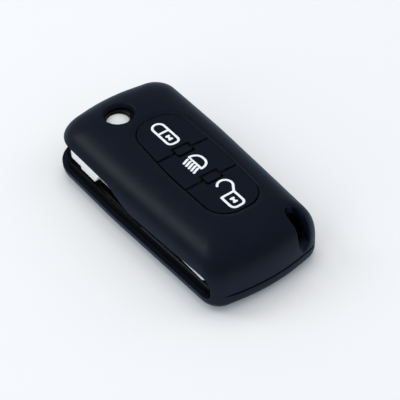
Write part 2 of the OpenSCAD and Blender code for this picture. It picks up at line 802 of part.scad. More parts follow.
module antenna_coil() {
    coil_l = 8;
    coil_w = 2.8;
    coil_t = 2.6;
    flange = 0.8;
    low = [bay_x - coil_l / 2, bay_y - bay_l / 2 + board_post_w + clear_gap, board_z - coil_t];
    color([0.55, 0.3, 0.16]) {
        for (x = [0, coil_l - flange]) block(low + [x, 0, 0], low + [x + flange, coil_w, coil_t]);
        translate(low + [flange, coil_w / 2, coil_t / 2]) rotate([0, 90, 0])
            cylinder(r = coil_w / 2 - run_fit, h = coil_l - flange * 2);
    }
}

module coin_cell() {
    rim = 0.4;
    color([0.78, 0.78, 0.78]) {
        post([bay_x, cell_y], cell_r, cell_z + rim, cell_t - rim);
        post([bay_x, cell_y], cell_r - rim * 2, cell_z, rim);
    }
}

// Strip over the coin cell, soldered to the board's underside
module cell_contact_top() {
    color([0.82, 0.8, 0.72]) {
        block([bay_x - contact_w / 2, cell_y - cell_r / 2, cell_top_z],
            [bay_x + contact_w / 2, cell_y + cell_r + contact_tab, cell_top_z + contact_t]);
        block([bay_x - contact_w / 2, cell_y + cell_r, cell_top_z + contact_t],
            [bay_x + contact_w / 2, cell_y + cell_r + contact_tab, board_z]);
    }
}

// Strip under the coin cell, bent up to the board
module cell_contact_bottom() {
    end_y = cell_y - cell_r - clear_gap;
    color([0.82, 0.8, 0.72]) {
        block([bay_x - contact_w / 2, end_y, seat_z], [bay_x + contact_w / 2, cell_y, seat_z + contact_t]);
        block([bay_x - contact_w / 2, end_y - contact_t, seat_z], [bay_x + contact_w / 2, end_y, board_z]);
    }
}

// Outline of the blade, folded along the left side
function blade_outline() = let (side = (blade_w - blade_tip_w) / 2)
    [[blade_inner_x, head_end_y + head_root_l], [blade_outer_x, head_end_y + head_root_l],
        [blade_outer_x, blade_tip_y + blade_tip_l], [blade_outer_x + side, blade_tip_y],
        [blade_inner_x - side, blade_tip_y], [blade_inner_x, blade_tip_y + blade_tip_l]];

module blade() {
    mid_x = (blade_outer_x + blade_inner_x) / 2;
    color([0.8, 0.8, 0.8]) difference() {
        prism(blade_outline(), blade_z, blade_t);
        for (z = [blade_z - over, blade_z + blade_t - blade_groove_d])
            block([mid_x - blade_groove_w / 2, blade_tip_y - over, z],
                [mid_x + blade_groove_w / 2, head_end_y - blade_groove_w, z + blade_groove_d + over]);
        post([mid_x, head_end_y + pin_inset_y], pin_r + pin_fit, blade_z - over, blade_t + over * 2);
    }
}

// Outline of the blade head: the disc round the pivot and the arm that holds the blade
module head_outline() {
    face_x = pivot.x - head_face_x;
    arm_x = blade_inner_x + run_fit * 2;
    translate(pivot) circle(r = head_r);
    polygon(concat(
        corner_arc([face_x, head_end_y], [face_x, pivot.y + head_corner_l, head_corner_r],
            pivot + [0, head_r], corner_steps),
        [pivot + [0, head_r], pivot, [arm_x, pivot.y - head_r], [arm_x, head_end_y], [face_x, head_end_y]]));
}

module blade_head() {
    mid_x = (blade_outer_x + blade_inner_x) / 2;
    face_x = pivot.x - head_face_x;
    color([0.84, 0.84, 0.82]) difference() {
        union() {
            translate([0, 0, head_z]) linear_extrude(head_t) head_outline();
            post(pivot, spigot_r, head_z - spigot_h, spigot_h + over);
        }
        post(pivot, button_r + run_fit, head_z - spigot_h - over, head_t + spigot_h + over * 2);
        translate([pivot.x, pivot.y, ear_z - button_travel - ear_gap])
            translate([-ear_r - ear_gap, -ear_w / 2 - ear_gap, 0])
            cube([(ear_r + ear_gap) * 2, ear_w + ear_gap * 2, head_t]);
        block([blade_outer_x - pin_fit, head_end_y - over, blade_z - pin_fit],
            [blade_inner_x + pin_fit, head_end_y + head_root_l + pin_fit, blade_z + blade_t + pin_fit]);
        post([mid_x, head_end_y + pin_inset_y], pin_r + pin_fit, head_z - over, head_t + over * 2);
        translate([face_x - over, head_end_y + head_slant, head_z]) rotate([atan(head_slant / head_t), 0, 0])
            translate([0, -head_arm_l, -head_t]) cube([head_face_x, head_arm_l, head_t * 3]);
        block([face_x - over, pivot.y - head_relief_y, head_z - over],
            [face_x + head_relief_l, pivot.y + head_r, head_z + head_relief_z]);
    }
}

module blade_pin() {
    mid_x = (blade_outer_x + blade_inner_x) / 2;
    color([0.7, 0.7, 0.7])
        post([mid_x, head_end_y + pin_inset_y], pin_r, head_z + head_gap, head_t - head_gap);
}

module release_button() {
    edge_z = button_top_z - button_bulge;
    inner_r = button_r - button_skirt_t;
    bulge_r = (pow(button_r, 2) + pow(button_bulge, 2)) / (2 * button_bulge);
    color([0.86, 0.86, 0.86]) {
        difference() {
            intersection() {
                post(pivot, button_r, button_skirt_z, cover_h);
                translate([pivot.x, pivot.y, button_top_z - bulge_r]) sphere(r = bulge_r, $fn = 120);
            }
            post(pivot, inner_r, button_skirt_z - over, edge_z - cap_t - button_skirt_z + over);
        }
        difference() {
            translate([pivot.x - ear_r, pivot.y - ear_w / 2, ear_z]) cube([ear_r * 2, ear_w, ear_h]);
            post(pivot, button_r - button_skirt_t / 2, ear_z - over, ear_h + over * 2);
        }
    }
}

// Flip spring: a coil inside the release button that turns the blade out and lifts the button
module flip_spring() {
    low = floor_z + spring_wire_r + spring_end_gap;
    high = button_top_z - button_bulge - cap_t - spring_wire_r - spring_end_gap;
    turns_all = spring_turns * spring_steps;
    rings = [for (i = [0:turns_all]) let (a = 360 * i / spring_steps, z = low + (high - low) * i / turns_all)
        [for (j = [0:spring_sides - 1])
            let (b = 360 * j / spring_sides, r = spring_r + spring_wire_r * cos(b))
            [pivot.x + r * cos(a), pivot.y + r * sin(a), z - spring_wire_r * sin(b)]]];
    color([0.6, 0.6, 0.62]) loft(rings);
}

module housing_screw() {
    z = key_inset + screw_cover_t;
    color([0.65, 0.65, 0.67]) {
        post(screw_at, screw_head_r, z, screw_head_h);
        post(screw_at, screw_r, z + screw_head_h, screw_l);
    }
}

cover_skin();
lock_pad();
light_pad();
unlock_pad();
upper_housing();
lower_housing();
keypad_mat();
lock_key();
light_key();
unlock_key();
circuit_board();
switch_bodies();
lock_plunger();
light_plunger();
unlock_plunger();
controller_chip();
crystal();
transponder();
antenna_coil();
coin_cell();
cell_contact_top();
cell_contact_bottom();
blade();
blade_head();
blade_pin();
release_button();
flip_spring();
housing_screw();
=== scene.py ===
"""Dresses the silicone cover on its folding car key: soft sleeve, pads, symbols, metal parts and studio.

Shapes are modelled in millimetres and brought to metres when a piece is finished.
"""

import logging
import math
from dataclasses import dataclass, field
from enum import Enum
from typing import Callable, Dict, Iterable, List, Optional, Sequence, Tuple

import bpy
import numpy as np
from mathutils import Matrix, Vector
from mathutils.bvhtree import BVHTree

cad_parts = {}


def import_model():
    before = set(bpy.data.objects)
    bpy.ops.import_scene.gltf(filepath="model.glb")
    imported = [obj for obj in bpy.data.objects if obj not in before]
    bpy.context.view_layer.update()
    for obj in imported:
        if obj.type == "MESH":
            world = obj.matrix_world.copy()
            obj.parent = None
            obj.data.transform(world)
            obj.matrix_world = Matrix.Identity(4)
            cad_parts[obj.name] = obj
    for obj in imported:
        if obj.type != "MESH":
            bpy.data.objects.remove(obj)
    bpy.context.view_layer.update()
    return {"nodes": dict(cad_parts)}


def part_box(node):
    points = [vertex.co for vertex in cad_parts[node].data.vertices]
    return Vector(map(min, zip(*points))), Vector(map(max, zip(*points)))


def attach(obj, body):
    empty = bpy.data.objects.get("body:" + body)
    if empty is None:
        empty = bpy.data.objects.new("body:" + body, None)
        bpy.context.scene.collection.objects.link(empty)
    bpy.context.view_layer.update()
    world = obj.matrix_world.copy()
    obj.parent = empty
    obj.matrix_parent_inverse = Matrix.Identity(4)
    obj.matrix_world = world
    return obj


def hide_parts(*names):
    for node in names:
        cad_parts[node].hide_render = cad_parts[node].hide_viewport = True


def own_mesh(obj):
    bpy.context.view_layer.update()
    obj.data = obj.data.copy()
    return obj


MM = 0.001
Point = Tuple[float, float]
Corner = Tuple[float, float, float]
Colour = Tuple[float, float, float]
Place = Tuple[float, float, float]
Packed = Dict[str, bpy.types.Object]
ROUND_END = 0.98  # share of half its width that rounds a slot's end, just short of a full half circle
CLOUD_RATIO = 7.0  # how much finer the small clouds of a mottled surface are than its broad ones
CLEAN_SHARE = 0.85  # share of the places for dust that stay clean
log = logging.getLogger("scene")


class Body(Enum):
    """Bodies of the key that pieces ride on."""

    BASE = "base"
    BLADE = "blade_assembly"
    RELEASE = "release"
    LOCK = "lock_button"
    LIGHT = "light_button"
    UNLOCK = "unlock_button"


class Slot(Enum):
    """Names of material slots of the record, passed with new pieces but not given to them."""

    SILICONE = "silicone"
    PAD = "silicone_pad"
    STEEL = "steel"
    BLADE = "blade_steel"
    HEAD = "head_metal"
    BUTTON = "button_chrome"


class Combine(Enum):
    """How one solid is combined with another."""

    CUT = "DIFFERENCE"
    KEEP = "INTERSECT"


def deselect_all() -> None:
    """Leaves object mode with nothing selected."""
    if bpy.context.object is not None and bpy.context.object.mode != "OBJECT":
        bpy.ops.object.mode_set(mode="OBJECT")
    bpy.ops.object.select_all(action="DESELECT")


def select_only(obj: bpy.types.Object) -> None:
    """Makes obj the only selected and active object.

    Args:
        obj: The object.
    """
    deselect_all()
    obj.select_set(True)
    bpy.context.view_layer.objects.active = obj


def new_object(name: str, data: bpy.types.ID) -> bpy.types.Object:
    """Puts a new object with the given data into the scene.

    Args:
        name: The object's name.
        data: Its mesh, curve, lamp or camera.

    Returns:
        The object.
    """
    obj = bpy.data.objects.new(name, data)
    bpy.context.scene.collection.objects.link(obj)
    return obj


def smooth_polyline(points: Sequence[Point], samples: int) -> np.ndarray:
    """Spaces points evenly along a closed outline.

    Args:
        points: The outline's points.
        samples: How many points to return.

    Returns:
        An array of samples rows of x and y.
    """
    ring = np.array(list(points) + [points[0]], float)
    along = np.concatenate([[0], np.cumsum(np.linalg.norm(np.diff(ring, axis=0), axis=1))])
    at = np.linspace(0, along[-1], samples, endpoint=False)
    return np.stack([np.interp(at, along, ring[:, k]) for k in (0, 1)], axis=1)


def rounded(corners: Sequence[Corner], samples: int, steps: int = 32) -> np.ndarray:
    """Outline through corners, each given as x, y and the radius that rounds it.

    Args:
        corners: The corners, in order.
        samples: How many points the outline gets.
        steps: Points on each rounded corner.

    Returns:
        The outline as an array of points.
    """
    points: List[Point] = []
    for i, (x, y, radius) in enumerate(corners):
        at = Vector((x, y))
        to_last = (Vector(corners[i - 1][:2]) - at).normalized()
        to_next = (Vector(corners[(i + 1) % len(corners)][:2]) - at).normalized()
        half = math.acos(max(-1, min(1, to_last.dot(to_next)))) / 2
        centre = at + (to_last + to_next).normalized() * radius / math.sin(half)
        first = at + to_last * radius / math.tan(half) - centre
        last = at + to_next * radius / math.tan(half) - centre
        start = math.atan2(first.y, first.x)
        turn = (math.atan2(last.y, last.x) - start + math.pi) % (2 * math.pi) - math.pi
        for k in range(steps + 1):
            angle = start + turn * k / steps
            points.append((centre.x + radius * math.cos(angle), centre.y + radius * math.sin(angle)))
    return smooth_polyline(points, samples)


def rounded_box(low: Point, high: Point, low_r: float, high_r: float, samples: int) -> np.ndarray:
    """Outline of an upright box between two corners, with one radius for each end."""
    (x0, y0), (x1, y1) = low, high
    return rounded([(x1, y0, low_r), (x1, y1, high_r), (x0, y1, high_r), (x0, y0, low_r)], samples)


def rectangle(half_w: float, low_y: float, high_y: float) -> np.ndarray:
    """Corners of a rectangle about the Y axis."""
    return np.array([(half_w, low_y), (half_w, high_y), (-half_w, high_y), (-half_w, low_y)])


def standing(profile: np.ndarray, y: float) -> np.ndarray:
    """Stands a profile of x and z up at a place along Y."""
    return np.stack([profile[:, 0], np.full(len(profile), y), profile[:, 1]], axis=1)


def inset(outline: np.ndarray, depth: float) -> np.ndarray:
    """Moves a counter-clockwise outline inwards by depth.

    Args:
        outline: The outline's points.
        depth: The distance.

    Returns:
        The new outline's points.
    """
    ahead = np.roll(outline, -1, axis=0) - np.roll(outline, 1, axis=0)
    ahead /= np.linalg.norm(ahead, axis=1)[:, None]
    return outline + np.stack([-ahead[:, 1], ahead[:, 0]], axis=1) * depth


@dataclass
class Solid:
    """A closed mesh that is shaped in millimetres and finished in metres."""

    obj: bpy.types.Object

    @staticmethod
    def named(name: str) -> "Solid":
        """Takes the primitive just added, under a name."""
        bpy.context.object.name = name
        return Solid(bpy.context.object)

    @staticmethod
    def columns(co: np.ndarray, count: int) -> np.ndarray:
        """Which of count even turns about Z each point lies at."""
        return np.rint(np.arctan2(co[:, 1], co[:, 0]) / (2 * math.pi) * count).astype(int) % count

    @staticmethod
    def wire(name: str, points: Sequence[Place], radius: float, resolution: int) -> "Solid":
        """Round wire through points in space.

        Args:
            name: Name of the new object.
            points: The points of its middle line.
            radius: The wire's radius.
            resolution: How finely its section is rounded.

        Returns:
            The wire as a mesh with closed ends.
        """
        curve = bpy.data.curves.new(name, "CURVE")
        curve.dimensions = "3D"
        curve.bevel_depth = radius
        curve.bevel_resolution = resolution
        curve.use_fill_caps = True
        spline = curve.splines.new("POLY")
        spline.points.add(len(points) - 1)
        for spot, point in zip(spline.points, points):
            spot.co = (*point, 1)
        select_only(new_object(name, curve))
        bpy.ops.object.convert(target="MESH")
        return Solid(bpy.context.object)

    @staticmethod
    def loft(name: str, rings: np.ndarray) -> "Solid":
        """Shapes a sphere primitive into a solid through rings.

        Args:
            name: Name of the new object.
            rings: Array of rings, lowest first, each a row of x, y and z points.

        Returns:
            The solid.
        """
        count, segments = rings.shape[:2]

        def through_rings(co: np.ndarray) -> np.ndarray:
            """Lays each point of the unit sphere on its ring.

            Args:
                co: Points of the unit sphere.

            Returns:
                Their places on the rings.
            """
            row = count + 1 - np.rint(np.arccos(np.clip(co[:, 2], -1, 1)) / math.pi * (count + 1)).astype(int)
            place = rings[np.clip(row - 1, 0, count - 1), Solid.columns(co, segments)]
            place[row == 0] = rings[0].mean(axis=0)
            place[row == count + 1] = rings[-1].mean(axis=0)
            return place

        deselect_all()
        bpy.ops.mesh.primitive_uv_sphere_add(segments=segments, ring_count=count + 1, radius=1)
        return Solid.named(name).move_points(through_rings).face_outwards()

    @staticmethod
    def prism(name: str, low: np.ndarray, high: np.ndarray) -> "Solid":
        """Shapes a cylinder primitive into a solid between two matching outlines in space.

        Args:
            name: Name of the new object.
            low: Points of the low outline.
            high: Points of the high outline, one for each low one.

        Returns:
            The solid.
        """
        def onto_outlines(co: np.ndarray) -> np.ndarray:
            """Lays each point of the unit cylinder on its outline."""
            column = Solid.columns(co, len(low))
            return np.where((co[:, 2] > 0)[:, None], high[column], low[column])

        deselect_all()
        bpy.ops.mesh.primitive_cylinder_add(vertices=len(low), radius=1, depth=2, end_fill_type="NGON")
        return Solid.named(name).move_points(onto_outlines).face_outwards()

    @staticmethod
    def upright(name: str, outline: np.ndarray, low: float, high: float) -> "Solid":
        """Prism of a plan outline between two heights."""
        flat = np.ones((len(outline), 1))
        return Solid.prism(name, np.hstack([outline, flat * low]), np.hstack([outline, flat * high]))

    @staticmethod
    def cylinder(name: str, start: Vector, end: Vector, radius: float, end_radius: Optional[float] = None,
                 sides: int = 96) -> "Solid":
        """Cylinder or cone between two points.

        Args:
            name: Name of the new object.
            start: Middle of the first end.
            end: Middle of the other end.
            radius: Radius of the first end.
            end_radius: Radius of the other end, the same if left out.
            sides: How many flat sides stand for the round.

        Returns:
            The solid.
        """
        deselect_all()
        bpy.ops.mesh.primitive_cone_add(vertices=sides, radius1=radius, radius2=end_radius or radius,
                                        depth=(end - start).length)
        turn = (end - start).to_track_quat("Z", "Y").to_matrix().to_4x4()
        bpy.context.object.matrix_world = Matrix.Translation((start + end) / 2) @ turn
        return Solid.named(name).fix_place()

    @staticmethod
    def ball(name: str, at: Vector, radius: float) -> "Solid":
        """Sphere about a point.

        Args:
            name: Name of the new object.
            at: Its middle.
            radius: Its radius.

        Returns:
            The solid.
        """
        deselect_all()
        bpy.ops.mesh.primitive_uv_sphere_add(segments=64, ring_count=32, radius=radius, location=at)
        return Solid.named(name).fix_place()

    def fix_place(self) -> "Solid":
        """Moves the object's place, turn and scale into its mesh.

        Returns:
            The solid itself.
        """
        select_only(self.obj)
        bpy.ops.object.transform_apply(location=True, rotation=True, scale=True)
        return self

    def face_outwards(self) -> "Solid":
        """Turns all faces outwards.

        Returns:
            The solid itself.
        """
        select_only(self.obj)
        bpy.ops.object.mode_set(mode="EDIT")
        bpy.ops.mesh.select_all(action="SELECT")
        bpy.ops.mesh.normals_make_consistent(inside=False)
        bpy.ops.object.mode_set(mode="OBJECT")
        return self

    def modify(self, kind: str, **settings: object) -> "Solid":
        """Adds a modifier with the given settings and applies it.

        Args:
            kind: The modifier's type.
            settings: The modifier's own settings.

        Returns:
            The solid itself.
        """
        select_only(self.obj)
        modifier = self.obj.modifiers.new(kind.title(), kind)
        for key, value in settings.items():
            setattr(modifier, key, value)
        bpy.ops.object.modifier_apply(modifier=modifier.name)
        return self

    def combine(self, how: Combine, *others: "Solid") -> "Solid":
        """Combines the solid with others, which are used up.

        Args:
            how: Whether the others cut the solid or bound it.
            others: The other solids.

        Returns:
            The solid itself.
        """
        for other in others:
            self.modify("BOOLEAN", object=other.obj, operation=how.value, solver="MANIFOLD")
            bpy.data.objects.remove(other.obj)
        return self

    def soften(self, voxel: float, passes: int) -> "Solid":
        """Gives the solid an even fine mesh and rounds its edges.

        Args:
            voxel: Size of the mesh's cells.
            passes: How often the mesh is smoothed.

        Returns:
            The solid itself.
        """
        self.modify("REMESH", mode="VOXEL", voxel_size=voxel, adaptivity=0)
        return self.modify("SMOOTH", factor=0.5, iterations=passes)

    def settle(self, shape: "Solid", near: float) -> "Solid":
        """Lays the points that are nearer than near to a smooth shape on it, and uses the shape up.

        Args:
            shape: The smooth shape.
            near: The greatest distance.

        Returns:
            The solid itself.
        """
        mesh = shape.obj.data
        tree = BVHTree.FromPolygons([v.co[:] for v in mesh.vertices], [p.vertices[:] for p in mesh.polygons])
        bpy.data.objects.remove(shape.obj)

        def onto(co: np.ndarray) -> np.ndarray:
            """Draws each point to its nearest one of the shape, less so the further it is.

            Args:
                co: The solid's points.

            Returns:
                Their places on or nearer to the shape.
            """
            out = co.copy()
            for i, point in enumerate(co):
                found, _, _, distance = tree.find_nearest(point, near)
                if found is not None:
                    share = min(1, 2 * (1 - distance / near))
                    out[i] = point + (np.array(found) - point) * share
            return out

        return self.move_points(onto)

    def merge_flats(self, degrees: float) -> "Solid":
        """Joins faces that lie in one plane."""
        return self.modify("DECIMATE", decimate_type="DISSOLVE", angle_limit=math.radians(degrees))

    def move_points(self, shift: Callable[[np.ndarray], np.ndarray]) -> "Solid":
        """Replaces the vertices' places by what shift returns for them.

        Args:
            shift: Function from the vertices' places to their new ones.

        Returns:
            The solid itself.
        """
        co = np.empty(len(self.obj.data.vertices) * 3)
        self.obj.data.vertices.foreach_get("co", co)
        self.obj.data.vertices.foreach_set("co", shift(co.reshape(-1, 3)).ravel())
        self.obj.data.update()
        return self

    def join(self, *others: "Solid") -> "Solid":
        """Makes others part of this mesh, without combining volumes.

        Args:
            others: The other solids.

        Returns:
            The solid itself.
        """
        select_only(self.obj)
        for other in others:
            other.obj.select_set(True)
        bpy.ops.object.join()
        return self

    def finish(self, name: str, body: Body, slot: Slot, material: bpy.types.Material,
               replaces: Iterable[str] = (), sharp: float = 35) -> bpy.types.Object:
        """Brings the solid to metres, dresses it and lets it ride.

        Args:
            name: The piece's name.
            body: Body that it moves with.
            slot: Not used.
            material: The finish itself.
            replaces: Nodes that the piece stands for.
            sharp: Angle in degrees above which an edge stays crisp.

        Returns:
            The finished piece.
        """
        self.move_points(lambda co: co * MM)
        obj = self.obj
        obj.name = name
        obj.data.name = name
        obj.data.materials.clear()
        obj.data.materials.append(material)
        select_only(obj)
        bpy.ops.object.shade_smooth_by_angle(angle=math.radians(sharp))
        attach(obj, body.value)
        for node in replaces:
            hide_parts(node)
        log.info("%s rides on %s with %d faces", name, body.value, len(obj.data.polygons))
        return obj


@dataclass
class Nodes:
    """Short way to lay out a material's or a group's node tree."""

    tree: bpy.types.NodeTree

    def add(self, kind: str, inputs: Optional[dict] = None, **settings: object) -> bpy.types.Node:
        """Adds a node.

        Args:
            kind: The node's type.
            inputs: Values or sockets for its inputs, by name or index.
            settings: The node's own settings.

        Returns:
            The node.
        """
        node = self.tree.nodes.new(kind)
        for key, value in settings.items():
            setattr(node, key, value)
        for key, value in (inputs or {}).items():
            self.put(node.inputs[key], value)
        return node

    def put(self, socket: bpy.types.NodeSocket, value: object) -> None:
        """Links another socket to an input, or sets the input to a constant.

        Args:
            socket: The input.
            value: The other socket or the constant.
        """
        if isinstance(value, bpy.types.NodeSocket):
            self.tree.links.new(value, socket)
        else:
            socket.default_value = value

    def math(self, operation: str, first: object, second: object) -> bpy.types.NodeSocket:
        """Output of a Math node on two values or sockets."""
        return self.add("ShaderNodeMath", {0: first, 1: second}, operation=operation).outputs[0]

    def blend(self, share: object, first: object, second: object) -> bpy.types.NodeSocket:
        """Output of a Mix node between two colours."""
        return self.add("ShaderNodeMix", {0: share, 6: first, 7: second}, data_type="RGBA").outputs[2]

    def feed(self, node: bpy.types.Node, **values: object) -> None:
        """Puts sockets or constants on a node's inputs, whose names are written with _ for a space."""
        for name, value in values.items():
            self.put(node.inputs[name.replace("_", " ")], value)


def new_material(name: str) -> Tuple[bpy.types.Material, Nodes, bpy.types.Node]:
    """Starts a material, and returns it with its tree's helper and its shader.

    Args:
        name: The material's name.

    Returns:
        The material, its tree's helper and its shader.
    """
    material = bpy.data.materials.new(name)
    material.use_nodes = True
    return material, Nodes(material.node_tree), material.node_tree.nodes["Principled BSDF"]


def make_group(name: str, inputs: Sequence[Tuple[str, str, object]],
               outputs: Sequence[Tuple[str, str]]) -> Tuple[Nodes, bpy.types.Node, bpy.types.Node]:
    """Starts a shader node group.

    Args:
        name: The group's name.
        inputs: Name, socket type and default of each input.
        outputs: Name and socket type of each output.

    Returns:
        The tree's helper, its input node and its output node.
    """
    tree = bpy.data.node_groups.new(name, "ShaderNodeTree")
    for label, kind, default in inputs:
        socket = tree.interface.new_socket(name=label, in_out="INPUT", socket_type=kind)
        socket.default_value = default
    for label, kind in outputs:
        tree.interface.new_socket(name=label, in_out="OUTPUT", socket_type=kind)
    nodes = Nodes(tree)
    return nodes, nodes.add("NodeGroupInput"), nodes.add("NodeGroupOutput")


def mottle_group() -> bpy.types.NodeTree:
    """Group that shifts a colour and a roughness softly over the surface, in two sizes of cloud.

    Returns:
        The group.
    """
    nodes, given, out = make_group(
        "Mottle",
        [("Colour", "NodeSocketColor", (0.5, 0.5, 0.5, 1)), ("Other", "NodeSocketColor", (0.5, 0.5, 0.5, 1)),
         ("Size", "NodeSocketFloat", 100.0), ("Roughness", "NodeSocketFloat", 0.5),
         ("Spread", "NodeSocketFloat", 0.05)],
        [("Colour", "NodeSocketColor"), ("Roughness", "NodeSocketFloat")])
    place = nodes.add("ShaderNodeTexCoord").outputs["Object"]
    broad = nodes.add("ShaderNodeTexNoise", {"Vector": place, "Scale": given.outputs["Size"], "Detail": 3.0})
    finer = nodes.math("MULTIPLY", given.outputs["Size"], CLOUD_RATIO)
    small = nodes.add("ShaderNodeTexNoise", {"Vector": place, "Scale": finer, "Detail": 2.0})
    mask = nodes.math("MULTIPLY", broad.outputs["Fac"], small.outputs["Fac"])
    spread = nodes.add("ShaderNodeMapRange", {"Value": mask, "From Min": 0.12, "From Max": 0.4})
    wide = spread.outputs["Result"]
    swing = nodes.math("MULTIPLY", wide, given.outputs["Spread"])
    nodes.feed(out, Colour=nodes.blend(wide, given.outputs["Colour"], given.outputs["Other"]),
               Roughness=nodes.math("ADD", given.outputs["Roughness"], swing))
    return nodes.tree


def grain_group() -> bpy.types.NodeTree:
    """Group that puts out the height of a fine moulded grain, stretched along an axis if asked.

    Returns:
        The group.
    """
    nodes, given, out = make_group(
        "Grain",
        [("Size", "NodeSocketFloat", 2000.0), ("Stretch", "NodeSocketVector", (1, 1, 1))],
        [("Height", "NodeSocketFloat")])
    place = nodes.add("ShaderNodeTexCoord").outputs["Object"]
    scaled = nodes.add("ShaderNodeVectorMath", {0: place, 1: given.outputs["Stretch"]}, operation="MULTIPLY")
    noise = nodes.add("ShaderNodeTexNoise", {"Vector": scaled.outputs[0], "Scale": given.outputs["Size"],
                                             "Detail": 4.0, "Roughness": 0.65})
    nodes.feed(out, Height=noise.outputs["Fac"])
    return nodes.tree


def specks_group() -> bpy.types.NodeTree:
    """Group that puts out a mask of sparse dust specks and lint.

    Returns:
        The group.
    """
    nodes, given, out = make_group(
        "Specks", [("Size", "NodeSocketFloat", 900.0), ("Share", "NodeSocketFloat", 0.1)],
        [("Mask", "NodeSocketFloat")])
    place = nodes.add("ShaderNodeTexCoord").outputs["Object"]
    cells = nodes.add("ShaderNodeTexVoronoi", {"Vector": place, "Scale": given.outputs["Size"]})
    near = nodes.math("LESS_THAN", cells.outputs["Distance"], given.outputs["Share"])
    pick = nodes.add("ShaderNodeTexWhiteNoise", {"Vector": cells.outputs["Position"]}, noise_dimensions="3D")
    rare = nodes.math("GREATER_THAN", pick.outputs["Value"], CLEAN_SHARE)
    nodes.feed(out, Mask=nodes.math("MULTIPLY", near, rare))
    return nodes.tree


@dataclass
class Effects:
    """Shared node groups, each built once."""

    mottle: bpy.types.NodeTree = field(default_factory=mottle_group)
    grain: bpy.types.NodeTree = field(default_factory=grain_group)
    specks: bpy.types.NodeTree = field(default_factory=specks_group)


@dataclass(frozen=True)
class Finish:
    """A surface finish: colours, gloss, mottling, grain and specks."""

    name: str
    colour: Colour
    other: Colour
    roughness: float
    spread: float = 0.06
    mottle_size: float = 120.0
    metallic: float = 0.0
    specular: float = 0.5
    grain_size: float = 2500.0
    grain_depth: float = 0.02
    grain_stretch: Tuple[float, float, float] = (1, 1, 1)
    speck_share: float = 0.0
    speck_colour: Colour = (0.3, 0.3, 0.3)
    coat: float = 0.0
    coat_roughness: float = 0.1
    edge_width: float = 0.0

    def build(self, effects: Effects) -> bpy.types.Material:
        """Makes the material.

        Args:
            effects: The shared node groups.

        Returns:
            The new material.
        """
        material, nodes, shader = new_material(self.name)
        mottle = nodes.add("ShaderNodeGroup", {
            "Colour": (*self.colour, 1), "Other": (*self.other, 1), "Size": self.mottle_size,
            "Roughness": self.roughness, "Spread": self.spread}, node_tree=effects.mottle)
        colour = mottle.outputs["Colour"]
        if self.speck_share:
            specks = nodes.add("ShaderNodeGroup", {"Share": self.speck_share}, node_tree=effects.specks)
            colour = nodes.blend(specks.outputs["Mask"], colour, (*self.speck_colour, 1))
        grain = nodes.add("ShaderNodeGroup", {"Size": self.grain_size, "Stretch": self.grain_stretch},
                          node_tree=effects.grain)
        bump = nodes.add("ShaderNodeBump", {"Strength": 1.0, "Distance": self.grain_depth * MM,
                                            "Height": grain.outputs["Height"]})
        if self.edge_width:
            edge = nodes.add("ShaderNodeBevel", {"Radius": self.edge_width * MM}, samples=6)
            nodes.feed(bump, Normal=edge.outputs["Normal"])
        nodes.feed(shader, Base_Color=colour, Roughness=mottle.outputs["Roughness"],
                   Normal=bump.outputs["Normal"], Metallic=self.metallic, Specular_IOR_Level=self.specular,
                   Coat_Weight=self.coat, Coat_Roughness=self.coat_roughness)
        return material


SILICONE = Finish("black_silicone", (0.0040, 0.0053, 0.0119), (0.0051, 0.0067, 0.0143), 0.38, specular=0.18,
                  grain_size=5200, grain_depth=0.006, speck_share=0.035, speck_colour=(0.03, 0.031, 0.036))
PAD_SILICONE = Finish("pad_silicone", (0.0038, 0.0051, 0.0117), (0.0049, 0.0064, 0.0139), 0.4, specular=0.17,
                      grain_size=5200, grain_depth=0.006, speck_share=0.03, speck_colour=(0.03, 0.031, 0.036))
PRINT = Finish("white_print", (0.94, 0.945, 0.95), (0.9, 0.905, 0.915), 0.45, mottle_size=500,
               grain_size=6000, grain_depth=0.004)
CASING = Finish("glossy_casing", (0.0015, 0.0016, 0.002), (0.0025, 0.0026, 0.003), 0.14, spread=0.05,
                specular=0.1, grain_size=900, grain_depth=0.0005, edge_width=0.18)
SATIN = Finish("satin_hub", (0.99, 0.965, 0.91), (1, 0.98, 0.94), 0.45, metallic=0.05, specular=0.3,
               mottle_size=300, grain_size=1500, grain_depth=0.001, grain_stretch=(1, 0.1, 1))
PEARL = Finish("pearl_chrome", (0.95, 0.94, 0.87), (1, 1, 0.97), 0.35, spread=0.1, metallic=0.2,
               mottle_size=320, grain_size=900, grain_depth=0.0005)
BLADE_STEEL = Finish("milled_steel", (0.93, 0.9, 0.85), (0.98, 0.95, 0.91), 0.34, metallic=0.5,
                     grain_size=1200, grain_depth=0.008, grain_stretch=(1, 0.06, 1))
SPRING_STEEL = Finish("spring_steel", (0.5, 0.5, 0.52), (0.6, 0.6, 0.61), 0.28, metallic=1)


